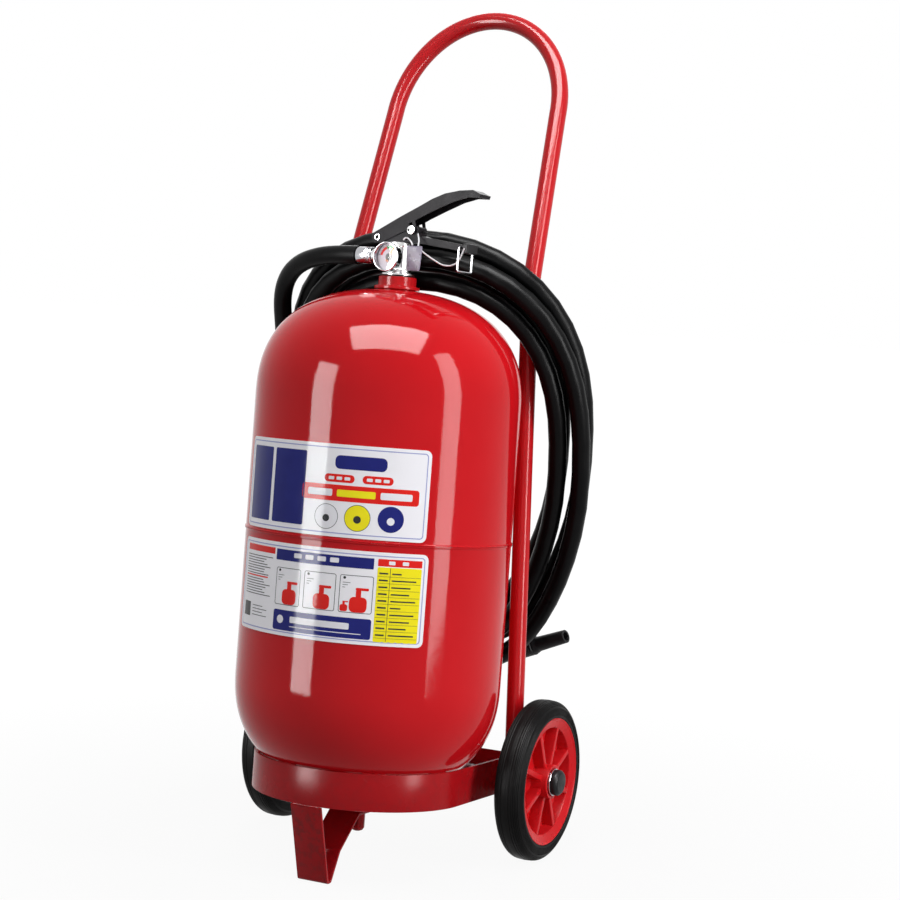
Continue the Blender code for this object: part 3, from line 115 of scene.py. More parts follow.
# ---- Wheels: distances out from the hub's inner face ----------------------------------------
WHEEL_R = 0.0860
HUB_R = 0.0182
HUB_LENGTH = 0.0345
HUB_RECESS_R = 0.0152
HUB_RECESS = 0.0030
RIM_R = 0.0680
RIM_START = 0.0016
RIM_WIDTH = 0.0303
RIM_FLANGE_R = 0.0575
RIM_FLANGE_DROP = 0.0038
RIM_WALL = 0.0045
WEB_START = 0.0120
WEB_T = 0.0040
WEB_R = 0.0560
RIB_COUNT = 8
RIB_T = 0.0056
TYRE_START = 0.0012
TYRE_WIDTH = 0.0310
TYRE_SHOULDER = 0.0075
GROOVES = 6
GROOVE_DEPTH = 0.0006
RIDGE_DEPTH = 0.0006
BUSH_BORE = 0.0063
BUSH_R = 0.0090
BUSH_SEAT_R = 0.0093
SPACER_R = 0.0120
SPACER_T = 0.0033
RETAINER_R = 0.0146
RETAINER_T = 0.0018
CAP_R = 0.0138
CAP_HEIGHT = 0.0075
CAP_DEPTH = 0.0045

# ---- Valve, in the valve frame --------------------------------------------------------------
VALVE_YAW = -6.0
VALVE_R = 0.0135
VALVE_TOP = 0.0360
VALVE_SEAT = 0.0015
VALVE_FLANGE_R = 0.0175
VALVE_FLANGE_T = 0.0022
SPIGOT_R = 0.0147
SPIGOT_DEPTH = 0.0185
CHAMBER_R = 0.0083
CHAMBER_TOP = 0.0180
STEM_BORE_R = 0.0034
SEAL_T = 0.0012
OUTLET_Z = 0.0220
OUTLET_R = 0.0075
OUTLET_END = 0.0320
OUTLET_BORE_R = 0.0030
COUPLING_R = 0.0090
COUPLING_LENGTH = 0.0194
GAUGE_Z = 0.0195
GAUGE_R = 0.0155
GAUGE_DEPTH = 0.0115
GAUGE_BACK = 0.0155
GAUGE_WALL = 0.0012
GAUGE_FLOOR = 0.0020
CARRY_HALF = 0.0082
LUG_FRONT = 0.0268
WEB_LOW = 0.0363
GRIP_TOP_END = 0.0347
GRIP_HEIGHT = 0.0066
TAG_AT = (0.0330, -0.0220, 0.0188)
TAG_T = 0.0012
TAG_HEIGHT = 0.0255
SEAL_CORD_R = 0.0008
TIE_R = 0.0009
BAIL_AT = (0.0815, 0, 0.0321)
BAIL_HALF = 0.0135
BAIL_DROP = 0.0245
BAIL_WIRE_R = 0.0011
HINGE_AT = (-0.0228, 0, 0.0408)
RIVET_R = 0.0020
RIVET_HEAD_R = 0.0035
RIVET_HEAD_T = 0.0010
SAFETY_PIN_AT = (0.0196, 0, 0.0490)
SAFETY_PIN_R = 0.0016
SAFETY_HEAD_R = 0.0048
SAFETY_HEAD_T = 0.0020
PIN_HEAD_Z = 0.0104
NEEDLE_REST = 26.0

# ---- Hose, in the tank frame ----------------------------------------------------------------
HOSE_R = 0.010
LOOP_STEPS = 24
COIL_START = 150.0
COIL_TURNS = 4.378
COIL_HALF_WIDTH = 0.1832
COIL_HALF_HEIGHT = 0.2612
COIL_CENTRE_X = 0.0014
COIL_CENTRE_Z = 0.4241
COIL_LEAN_SLOPE = 0.4470
COIL_BACK = 0.0386
COIL_LEAN_PIVOT = 0.620
COIL_POWER = 2.213
COIL_EGG = 0.2486
COIL_SADDLE = 0.3510
COIL_SADDLE_X = 0.10
COIL_PITCH = 0.0267
LAYER_STEP = 0.0209
LAYER_RISE = 0.0055
LAYER_SIDE = 0.0002
HOSE_END_RUN = 0.020
LEAD_POINTS = 12
LEAD_RUN = 0.010
LEAD_PULL = 1.22
NOZZLE_LENGTH = 0.065
NOZZLE_BUTT_R = 0.0110
NOZZLE_TIP_R = 0.0075
NOZZLE_BORE_R = 0.0050
FERRULE_LENGTH = 0.022

# ---- Stage and camera -----------------------------------------------------------------------
FLOOR_HALF = 14.0
WHITE = (1, 1, 1, 1)
CAMERA_AT = (1.0487, -1.99568, 0.6494)
CAMERA_HEADING = 26.4062
CAMERA_DIP = 5.4402
CAMERA_ROLL = -2.2683
CAMERA_LENS = 84.684

# ---- Frames ---------------------------------------------------------------------------------
LEAN = radians(TANK_LEAN)
axle_low, axle_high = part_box("axle")
axle_at = (Vector(axle_low) + Vector(axle_high)) / 2
tank_foot = axle_at - Vector(
    (0, AXLE_Y * cos(LEAN) + AXLE_Z * sin(LEAN), AXLE_Z * cos(LEAN) - AXLE_Y * sin(LEAN))
)
TANK = Matrix.Translation(tank_foot) @ Matrix.Rotation(-LEAN, 4, "X")
VALVE = (
    TANK
    @ Matrix.Translation((0, 0, NECK_TOP))
    @ Matrix.Rotation(radians(VALVE_YAW), 4, "Z")
)
FORWARD = Matrix.Rotation(pi / 2, 4, "X")  # a turned piece's axis laid towards -Y
LEFTWARD = Matrix.Rotation(-pi / 2, 4, "Y")  # and towards -X


# ---- Materials ------------------------------------------------------------------------------
MIX_COLOURS = 6  # the mix node's first colour input
MIX_RESULT = 2  # and its colour output


def add_node(tree, kind, inputs=(), **settings):
    """A shader node whose inputs, by name or number, take values or other nodes' sockets."""
    node = tree.nodes.new(f"ShaderNode{kind}")
    for name, setting in settings.items():
        setattr(node, name, setting)
    for socket, value in dict(inputs).items():
        if isinstance(value, bpy.types.NodeSocket):
            tree.links.new(value, node.inputs[socket])
        else:
            node.inputs[socket].default_value = value
    return node


def maths(tree, operation, first, second):
    return add_node(tree, "Math", {0: first, 1: second}, operation=operation).outputs[0]


def map_range(tree, value, low, high, start, end):
    """A value stretched from start..end to low..high."""
    ends = {"Value": value, "From Min": start, "From Max": end, "To Min": low, "To Max": high}
    return add_node(tree, "MapRange", ends).outputs["Result"]


class Surface:
    """A Principled material put together from object-space textures."""

    def __init__(self, name, specular):
        self.material = bpy.data.materials.new(name)
        self.material.use_nodes = True
        self.tree = self.material.node_tree
        self.shader = self.tree.nodes["Principled BSDF"]
        self.place = add_node(self.tree, "TexCoord").outputs["Object"]
        self.set("Specular IOR Level", specular)

    def set(self, socket, value):
        self.shader.inputs[socket].default_value = value
        return self

    def noise(self, scale, detail=3.0, stretch=(1, 1, 1)):
        place = add_node(self.tree, "Mapping", {"Vector": self.place, "Scale": stretch})
        inputs = {"Vector": place.outputs["Vector"], "Scale": scale, "Detail": detail}
        return add_node(self.tree, "TexNoise", inputs).outputs["Fac"]

    def between(self, value, low, high, start=0.3, end=0.7):
        return map_range(self.tree, value, low, high, start, end)

    def blend(self, share, *colours):
        """A colour between two, each a colour or a socket."""
        inputs = {0: share}
        for i, colour in enumerate(colours):
            inputs[MIX_COLOURS + i] = (*colour, 1) if isinstance(colour, tuple) else colour
        return add_node(self.tree, "Mix", inputs, data_type="RGBA").outputs[MIX_RESULT]

    def edges(self, low=0.52, high=0.60):
        """1 on convex edges and 0 elsewhere."""
        pointiness = add_node(self.tree, "NewGeometry").outputs["Pointiness"]
        return self.between(pointiness, 0.0, 1.0, low, high)

    def finish(self, colour, roughness, height=None, depth=0.0, strength=0.5):
        """The material with its colour, roughness and grain joined to the shader."""
        joined = {"Base Color": colour, "Roughness": roughness}
        if height:
            inputs = {"Strength": strength, "Distance": depth, "Height": height}
            joined["Normal"] = add_node(self.tree, "Bump", inputs).outputs["Normal"]
        for socket, value in joined.items():
            self.tree.links.new(value, self.shader.inputs[socket])
        return self.material


def paint(name, colour, deep, roughness, coat, wear=None):
    """Sprayed enamel: soft patches of depth, orange peel and, on strap edges, rubbed spots."""
    look = Surface(name, 0.10).set("Coat Weight", coat).set("Coat Roughness", 0.03)
    body = look.blend(look.between(look.noise(6.0), 0.0, 1.0), colour, deep)
    if wear:
        rubbed = look.between(look.noise(140.0, 6.0), 0.0, 0.8, 0.5, 0.62)
        body = look.blend(maths(look.tree, "MULTIPLY", look.edges(), rubbed), body, wear)
    sheen = look.between(look.noise(30.0, 5.0), roughness * 0.8, roughness * 1.35)
    return look.finish(body, sheen, look.noise(260.0, 2.0), 0.00006)


def plain(
    name, colour, deep, roughness, scale, grain, grain_scale,
    metallic=0.0, stretch=(1, 1, 1), gloss=0.3,
):
    """A body colour with patches, uneven gloss and a fine grain."""
    look = Surface(name, 0.5 if metallic else gloss).set("Metallic", metallic)
    body = look.blend(look.between(look.noise(scale, 4.0), 0.0, 1.0), colour, deep)
    sheen = look.between(look.noise(scale * 3, 5.0), roughness * 0.75, roughness * 1.3)
    return look.finish(body, sheen, look.noise(grain_scale, 3.0, stretch), grain, 0.6)


def rubber(name, colour, dust, roughness, dust_scale, grain):
    """Black rubber with a bloom of pale dust and a fine matte grain."""
    look = Surface(name, 0.06)
    bloom = look.between(look.noise(dust_scale, 6.0), 0.0, 0.55, 0.48, 0.75)
    sheen = look.between(look.noise(40.0, 4.0), roughness * 0.8, roughness * 1.25)
    return look.finish(look.blend(bloom, colour, dust), sheen, look.noise(900.0, 3.0), grain)


def worn_black(name):
    """Black coating on pressed steel, with small grey scuffs."""
    look = Surface(name, 0.05)
    coating = (0.010, 0.009, 0.011), (0.020, 0.018, 0.021)
    body = look.blend(look.between(look.noise(50.0), 0.0, 1.0), *coating)
    scuffs = look.between(look.noise(320.0, 6.0), 0.0, 0.5, 0.64, 0.76)
    body = look.blend(scuffs, body, (0.07, 0.07, 0.074))
    sheen = look.between(look.noise(90.0, 5.0), 0.24, 0.42)
    return look.finish(body, sheen, look.noise(700.0, 3.0), 0.00008)


def ink(name, colour, deep):
    """Printing ink with a faint screen."""
    return plain(name, colour, deep, 0.10, 40.0, 0.00001, 2500.0, gloss=0.10)


def clear(name):
    look = Surface(name, 0.1).set("Transmission Weight", 1.0).set("IOR", 1.30)
    body = look.blend(look.noise(80.0), (0.98, 0.98, 1.0), (0.93, 0.94, 0.97))
    return look.finish(body, look.between(look.noise(160.0, 5.0), 0.01, 0.06))


def film(name):
    """Frosted tag film that lets light through."""
    look = Surface(name, 0.1).set("Transmission Weight", 0.35).set("IOR", 1.4)
    patches = look.between(look.noise(70.0, 4.0), 0.0, 1.0)
    body = look.blend(patches, (0.34, 0.31, 0.42), (0.42, 0.39, 0.48))
    sheen = look.between(look.noise(200.0, 4.0), 0.22, 0.42)
    return look.finish(body, sheen, look.noise(400.0, 2.0), 0.00006)


RED = (0.600, 0.0080, 0.0130)
RED_DEEP = (0.520, 0.0050, 0.0090)
tank_red = paint("tank_enamel", RED, RED_DEEP, 0.06, 0.0)
tube_red = paint("tube_enamel", (0.56, 0.010, 0.014), (0.50, 0.007, 0.011), 0.16, 0.1)
# A darker copy of the red enamel for the band, cross plate, foot, welds, boss and nut. The darker
# tone is painted shade, because these parts sit low and get less light. The rubbed spots on edges
# are real wear.
shaded_strap_red = paint(
    "strap_enamel_painted_shade", (0.42, 0.007, 0.011), (0.35, 0.005, 0.008), 0.22, 0.0, (0.20, 0.012, 0.014),
)
rim_red = plain(
    "moulded_red", (0.62, 0.011, 0.016), (0.55, 0.008, 0.012), 0.30, 18.0, 0.00006, 800.0,
    gloss=0.08,
)
label_white = plain(
    "label_film_white", (0.94, 0.93, 0.97), (0.90, 0.89, 0.94), 0.10, 9.0, 0.00001, 500.0,
    gloss=0.12,
)
navy = ink("navy_ink", (0.012, 0.016, 0.170), (0.016, 0.021, 0.200))
lilac = ink("lilac_ink", (0.34, 0.36, 0.64), (0.40, 0.42, 0.68))
scarlet = ink("scarlet_ink", (0.82, 0.020, 0.014), (0.76, 0.016, 0.012))
yellow = ink("yellow_ink", (0.95, 0.84, 0.016), (0.91, 0.79, 0.014))
black_ink = ink("black_ink", (0.030, 0.030, 0.034), (0.045, 0.045, 0.050))
pale_ink = ink("pale_ink", (0.88, 0.87, 0.92), (0.84, 0.83, 0.88))
tyre_black = rubber(
    "tyre_rubber_black", (0.0025, 0.0022, 0.0023), (0.008, 0.0075, 0.007), 0.46, 30.0, 0.00010,
)
hose_black = rubber(
    "hose_rubber_black", (0.0030, 0.0030, 0.0033), (0.008, 0.008, 0.0085), 0.32, 22.0, 0.00006,
)
chrome = plain(
    "chrome_plate", (0.50, 0.50, 0.52), (0.43, 0.43, 0.45), 0.09, 60.0, 0.00001, 900.0,
    metallic=1.0,
)
cast_chrome = plain(
    "plated_casting", (0.62, 0.62, 0.61), (0.52, 0.52, 0.52), 0.20, 90.0, 0.00008, 600.0,
    metallic=1.0,
)
steel = plain(
    "zinc_steel", (0.52, 0.52, 0.54), (0.44, 0.44, 0.46), 0.30, 90.0, 0.00003, 900.0, metallic=1.0,
    stretch=(6, 1, 1),
)
brass = plain(
    "stem_brass", (0.70, 0.52, 0.24), (0.60, 0.44, 0.20), 0.28, 60.0, 0.00003, 900.0, metallic=1.0,
)
black_plastic = plain(
    "moulded_black", (0.008, 0.008, 0.009), (0.016, 0.016, 0.017), 0.38, 50.0, 0.00006, 900.0,
    gloss=0.10,
)
black_metal = worn_black("coated_steel")
dial_white = plain(
    "dial_enamel", (0.70, 0.63, 0.66), (0.63, 0.57, 0.60), 0.55, 120.0, 0.00002, 900.0, gloss=0.02,
)
dial_green = ink("dial_green_ink", (0.05, 0.36, 0.09), (0.04, 0.30, 0.07))
boss_grey = plain(
    "boss_grey", (0.20, 0.19, 0.18), (0.14, 0.135, 0.13), 0.42, 200.0, 0.00003, 900.0, gloss=0.05,
)
orange = plain(
    "needle_enamel", (0.90, 0.30, 0.03), (0.82, 0.24, 0.02), 0.40, 200.0, 0.00002, 900.0,
    gloss=0.05,
)
# A flat matte black for discs that stand in for the shade inside small holes: painted shade.
painted_hole_shade = plain(
    "painted_hole_shade", (0.004, 0.004, 0.004), (0.007, 0.007, 0.007), 0.80, 200.0, 0.00002, 900.0,
    gloss=0.0,
)
lens_clear = clear("gauge_glass")
tag_film = film("frosted_tag")
cord_white = plain(
    "woven_white", (0.84, 0.84, 0.86), (0.70, 0.70, 0.73), 0.50, 500.0, 0.00012, 1500.0,
)
nylon = plain(
    "bush_nylon_white", (0.76, 0.74, 0.68), (0.70, 0.68, 0.62), 0.48, 80.0, 0.00004, 700.0,
)

SLOT_OF = {
    look.name: slot
    for slot, *looks in (
        ("red_paint", tank_red, tube_red, shaded_strap_red),
        ("wheel_plastic", rim_red),
        ("tyre_rubber", tyre_black),
        ("hose_rubber", hose_black),
        ("bush_nylon", nylon),
        ("steel", steel),
        ("chrome", chrome),
        ("bright_valve", cast_chrome),
        ("black_plastic", black_plastic, painted_hole_shade),
        ("label_film", label_white),
        ("dial_white", dial_white),
        ("needle_orange", boss_grey, orange),
        ("clear_lens", lens_clear),
        ("tag_film", tag_film),
        ("seal_white", cord_white),
    )
    for look in looks
}


# ---- Building -------------------------------------------------------------------------------
def piece(name, points, faces, look, where, body="cart", cad="", slot=None, sharp=32):
    """A piece from points in its own frame, which rides a body and may stand for frame nodes."""
    mesh = bpy.data.meshes.new(name)
    mesh.from_pydata([where @ Vector(point) for point in points], [], faces)
    shell = bmesh.new()
    shell.from_mesh(mesh)
    bmesh.ops.remove_doubles(shell, verts=shell.verts, dist=SAME_PLACE)
    bmesh.ops.recalc_face_normals(shell, faces=shell.faces)
    shell.to_mesh(mesh)
    shell.free()
    mesh.shade_smooth()
    mesh.set_sharp_from_angle(angle=radians(sharp))
    mesh.materials.append(look)
    made = bpy.data.objects.new(name, mesh)
    bpy.context.scene.collection.objects.link(made)
    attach(made, body)
    if cad:
        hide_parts(*cad.split())
    slot = slot or SLOT_OF.get(look.name)
    return made


def arc(first, corner, last, steps):
    """A short curve that cuts a corner."""
    shares = [k / steps for k in range(steps + 1)]
    return [first * (1 - t) ** 2 + corner * 2 * t * (1 - t) + last * t**2 for t in shares]


def rounded(outline, radius, steps=3, turned=False):
    """A closed flat outline with its corners cut by arcs, but for those on a turned one's axis."""
    points = [Vector(point) for point in outline]
    run = []
    for i, corner in enumerate(points):
        back, ahead = points[i - 1] - corner, points[(i + 1) % len(points)] - corner
        reach = min(radius, 0.4 * back.length, 0.4 * ahead.length)
        on_axis = turned and corner.x < SAME_PLACE
        if on_axis or reach < 0.00001 or back.angle(ahead) > radians(170):
            run.append(corner)
        else:
            first, last = (corner + way.normalized() * reach for way in (back, ahead))
            run += arc(first, corner, last, steps)
    return run


def skin(rows, count, first=0, capped=True):
    """Faces over rows of points, each row a closed ring of so many, with flat ends."""
    faces = []
    last = first + (rows - 1) * count
    for row in range(first, last, count):
        for k in range(count):
            a, b = row + k, row + (k + 1) % count
            faces.append((a, b, b + count, a + count))
    if capped:
        faces += [tuple(range(first, first + count)), tuple(range(last, last + count))]
    return faces


def lathe(name, profile, look, where, steps=64, edge=0.0004, **facts):
    """A turned piece about Z from a closed (radius, height) outline with softened corners."""
    outline = rounded(profile, edge, turned=True)
    count = len(outline)
    points, faces = [], []
    for i in range(steps):
        angle = 2 * pi * i / steps
        points += [(r * cos(angle), r * sin(angle), z) for r, z in outline]
    for i in range(steps):
        near, far = i * count, (i + 1) % steps * count
        for k in range(count):
            after = (k + 1) % count
            if max(outline[k].x, outline[after].x) >= SAME_PLACE:
                faces.append((near + k, near + after, far + after, far + k))
    return piece(name, points, faces, look, where, **facts)


def carried(path):
    """A direction across the path at each of its points, carried along without twisting."""
    ways = [(b - a).normalized() for a, b in zip(path, path[1:])]
    ways = [ways[0]] + [(a + b).normalized() for a, b in zip(ways, ways[1:])] + [ways[-1]]
    across = ways[0].orthogonal().normalized()
    sides = []
    for way in ways:
        across = (across - way * across.dot(way)).normalized()
        sides.append((across, way.cross(across)))
    return sides


def rings(path, radii, sides):
    """A round ring of points at each point of a path."""
    angles = [2 * pi * k / sides for k in range(sides)]
    return [
        at + (u * cos(angle) + v * sin(angle)) * radius
        for at, (u, v), radius in zip(path, carried(path), radii)
        for angle in angles
    ]


def tube(name, path, radius, look, where, sides=16, cyclic=False, **facts):
    """A round bar, wire or hose along a run of points."""
    path = [Vector(point) for point in path]
    if cyclic:
        path = [*path, path[0]]
    points = rings(path, [radius] * len(path), sides)
    return piece(name, points, skin(len(path), sides, capped=not cyclic), look, where, **facts)


def strap(name, path, across, half, thickness, look, where, edge, **facts):
    """A flat bar bent along a path. It lies to the left of the path, seen along across."""
    path = [Vector(point) for point in path]
    across = Vector(across).normalized()
    section = rounded([(-half, 0), (half, 0), (half, thickness), (-half, thickness)], edge, 2)
    points = []
    for i, at in enumerate(path):
        before = (at - path[i - 1]).normalized() if i else None
        after = (path[i + 1] - at).normalized() if i + 1 < len(path) else None
        way = ((before or after) + (after or before)).normalized()
        out = across.cross(way)
        stretch = 1 / max(0.5, way.dot(after or before))
        points += [at + across * s.x + out * s.y * stretch for s in section]
    return piece(name, points, skin(len(path), len(section)), look, where, **facts)


def block(name, size, at, look, where, edge, **facts):
    """A bar with softened edges, its section in XZ."""
    x, y, z = (length / 2 for length in size)
    section = rounded([(-x, -z), (x, -z), (x, z), (-x, z)], edge, 3)
    near = [(-y, edge), (-y + edge * 0.3, edge * 0.3), (-y + edge, 0)]
    rows = near + [(-depth, inset) for depth, inset in reversed(near)]
    points = [
        (at[0] + s.x * (1 - inset / x), at[1] + depth, at[2] + s.y * (1 - inset / z))
        for depth, inset in rows
        for s in section
    ]
    return piece(name, points, skin(len(rows), len(section)), look, where, **facts)


def filleted(corners, radius, steps=8):
    """A run of straight lines with each inner corner rounded to a radius."""
    corners = [Vector(corner) for corner in corners]
    run = [corners[0]]
    for before, corner, after in zip(corners, corners[1:], corners[2:]):
        back, ahead = before - corner, after - corner
        reach = radius / np.tan(back.angle(ahead) / 2)
        reach = min(reach, 0.45 * min(back.length, ahead.length))
        first, last = (corner + way.normalized() * reach for way in (back, ahead))
        run += arc(first, corner, last, steps)
    run.append(corners[-1])
    return run


def rounded_loop(corners, radius, steps=6):
    """A closed loop of straight wires with bent corners."""
    corners = [Vector(corner) for corner in corners]
    run = []
    for i, corner in enumerate(corners):
        first = corner + (corners[i - 1] - corner).normalized() * radius
        last = corner + (corners[(i + 1) % len(corners)] - corner).normalized() * radius
        run += arc(first, corner, last, steps)
    return run


def sleeve(outer, inner, low, high):
    """The outline of a plain turned ring."""
    return [(outer, low), (inner, low), (inner, high), (outer, high)]


def smooth_run(points, count):
    """Points along a smooth curve through a few chosen ones."""
    points = [Vector(point) for point in points]
    ends = [2 * points[0] - points[1], *points, 2 * points[-1] - points[-2]]
    run = []
    for i in range(count + 1):
        at = i / count * (len(points) - 1)
        k = min(int(at), len(points) - 2)
        t = at - k
        a, b, c, d = ends[k : k + 4]
        bend, twist = 2 * a - 5 * b + 4 * c - d, 3 * b - a - 3 * c + d
        run.append(0.5 * (2 * b + (c - a) * t + bend * t**2 + twist * t**3))
    return run


# ---- Tank -----------------------------------------------------------------------------------
def dome(radius, height, inner_r, steps=28):
    """(radius, height above the dome's edge) from near its middle out to its edge."""
    top = min((1 - (inner_r / radius) ** DOME_POWER) ** (1 / DOME_POWER), 1.0)
    run = []
    for i in range(steps + 1):
        t = sin(asin(top) * (1 - i / steps))
        run.append((radius * (1 - t**DOME_POWER) ** (1 / DOME_POWER), height * t))
    run[0] = (inner_r, height * top)
    return run


def make_tank():
    inner = TANK_R - TANK_WALL
    hole = NECK_R + GAP
    lip = GAP / 2
    bead = [
        (TANK_R, BEAD_HALF), (TANK_R + BEAD_RISE * 0.7, BEAD_HALF * 0.8),
        (TANK_R + BEAD_RISE, BEAD_HALF * 0.45),
    ]
    upper = [(r, DOME_HIGH + z) for r, z in dome(TANK_R, DOME_HEIGHT, hole)]
    upper += [(r, SEAM_Z + z) for r, z in bead] + [
        (TANK_R + BEAD_RISE, SEAM_Z + lip), (inner, SEAM_Z + lip),
    ]
    upper += [
        (r, DOME_HIGH + z)
        for r, z in reversed(dome(inner, DOME_HEIGHT - TANK_WALL, hole, 8))
    ]
    lower = [(inner - GAP, SEAM_Z - lip), (TANK_R + BEAD_RISE, SEAM_Z - lip)]
    lower += [(r, SEAM_Z - z) for r, z in reversed(bead)]
    lower += [(r, DOME_LOW - z) for r, z in reversed(dome(TANK_R, DOME_HEIGHT, 0.0))]
    lower += [(r, DOME_LOW - z) for r, z in dome(inner - GAP, DOME_HEIGHT - TANK_WALL, 0.0, 8)]
    for half, outline in (("upper", upper), ("lower", lower)):
        facts = {"cad": f"tank_{half}_shell", "sharp": 50}
        lathe(f"tank_{half}_skin", outline, tank_red, TANK, 144, 0.0001, **facts)
    seat = TANK_APEX + GAP
    collar = [
        (NECK_R, NECK_TOP),
        (NECK_R, seat + NECK_FLANGE_T),
        (NECK_FLANGE_R, seat + NECK_FLANGE_T),
        (NECK_FLANGE_R, seat),
        (NECK_R, seat),
        (NECK_R, TANK_APEX - NECK_TAIL),
        (NECK_BORE_R, TANK_APEX - NECK_TAIL),
        (NECK_BORE_R, NECK_TOP),
    ]
    lathe("neck_ring", collar, tube_red, TANK, 72, 0.0008, cad="neck_collar")


def weld_run(name, path, radius, step, look):
    """A welded bead: a run of overlapping lens-shaped ripples."""
    path = [Vector(point) for point in path]
    lengths = np.cumsum([0] + [(b - a).length for a, b in zip(path, path[1:])])
    steps = 4 * max(2, int(lengths[-1] / step))
    fine = []
    for i in range(steps + 1):
        at = lengths[-1] * i / steps
        k = min(int(np.searchsorted(lengths, at, side="right")) - 1, len(path) - 2)
        share = (at - lengths[k]) / (lengths[k + 1] - lengths[k])
        fine.append(path[k].lerp(path[k + 1], share))
    swells = [radius * (0.82 + 0.18 * abs(sin(pi * i / 4))) for i in range(steps + 1)]
    for end in (0, -1):
        swells[end] *= 0.5
    points = rings(fine, swells, WELD_SIDES)
    return piece(
        name, points, skin(len(fine), WELD_SIDES), look, TANK, slot="red_paint", sharp=60
    )


# ---- Labels ---------------------------------------------------------------------------------
class Print:
    """Flat shapes wrapped round the tank's front, collected for one ink."""

    def __init__(self, base, thickness):
        self.base = TANK_R + GAP + base
        self.top = self.base + thickness
        self.points, self.faces = [], []

    def columns(self, columns):
        """Columns of (angle, low, high) from left to right."""
        first = len(self.points)
        for angle, low, high in columns:
            turn = radians(angle)
            ring = ((self.base, low), (self.base, high), (self.top, high), (self.top, low))
            self.points += [(r * sin(turn), -r * cos(turn), z) for r, z in ring]
        self.faces += skin(len(columns), 4, first)

    def bar(self, left, right, low, high, corner):
        """A rectangle with round corners."""
        wide = degrees(corner / TANK_R)
        ends = [wide * (1 - cos(radians(a))) for a in (0, 22.5, 45, 67.5)]
        steps = max(2, ceil((right - left) / 3))
        middle = [left + wide + (right - left - 2 * wide) * i / steps for i in range(steps + 1)]
        run = []
        for angle in [left + e for e in ends] + middle + [right - e for e in reversed(ends)]:
            into = max(0.0, wide - min(angle - left, right - angle)) / wide * corner
            trim = corner - sqrt(max(0.0, corner**2 - into**2))
            run.append((angle, low + trim, high - trim))
        self.columns(run)

    def disc(self, angle, z, radius, steps=20):
        run = []
        for i in range(steps + 1):
            turn = pi * i / steps
            half = max(radius * sin(turn), 0.00002)
            run.append((angle - degrees(radius / TANK_R) * cos(turn), z - half, z + half))
        self.columns(run)

    def ring(self, left, right, low, high, width):
        """A frame line with round corners."""
        outer, inner = 3.5 * width, 2.5 * width

        def trim(into, radius):
            return radius - sqrt(max(0.0, radius**2 - max(0.0, radius - into) ** 2))

        def turn(into):
            return degrees(into / TANK_R)

        sides = [width * k / 3 for k in range(4)]
        for edge, sign in ((left, 1), (right, -1)):
            self.columns(
                [
                    (edge + sign * turn(i), low + trim(i, outer), high - trim(i, outer))
                    for i in sides
                ]
            )
        ends = [width + inner * k / 5 for k in range(6)]
        steps = max(2, ceil((right - left) / 3))
        middle = (right - left - 2 * turn(outer)) / steps
        run = [(left + turn(i), i) for i in ends]
        run += [(left + turn(outer) + middle * k, outer) for k in range(1, steps)]
        run += [(right - turn(i), i) for i in reversed(ends)]
        for base, sign in ((low, 1), (high, -1)):
            rows = [
                (a, base + sign * trim(i, outer), base + sign * (width + trim(i - width, inner)))
                for a, i in run
            ]
            self.columns([(a, min(p, q), max(p, q)) for a, p, q in rows])

    def bottle(self, angle, low, size, lean):
        """A small upright bottle with a valve and a grip, as on any such label."""
        wide = degrees(size / TANK_R)
        for left, right, foot, top, corner in (
            (-0.30, 0.30, 0, 0.52, 0.16),
            (-0.09, 0.09, 0.48, 0.74, 0.02),
            (-0.10, 0.34, 0.70 + lean, 0.79 + lean, 0.03),
        ):
            ends = angle + left * wide, angle + right * wide
            self.bar(*ends, low + foot * size, low + top * size, corner * size)


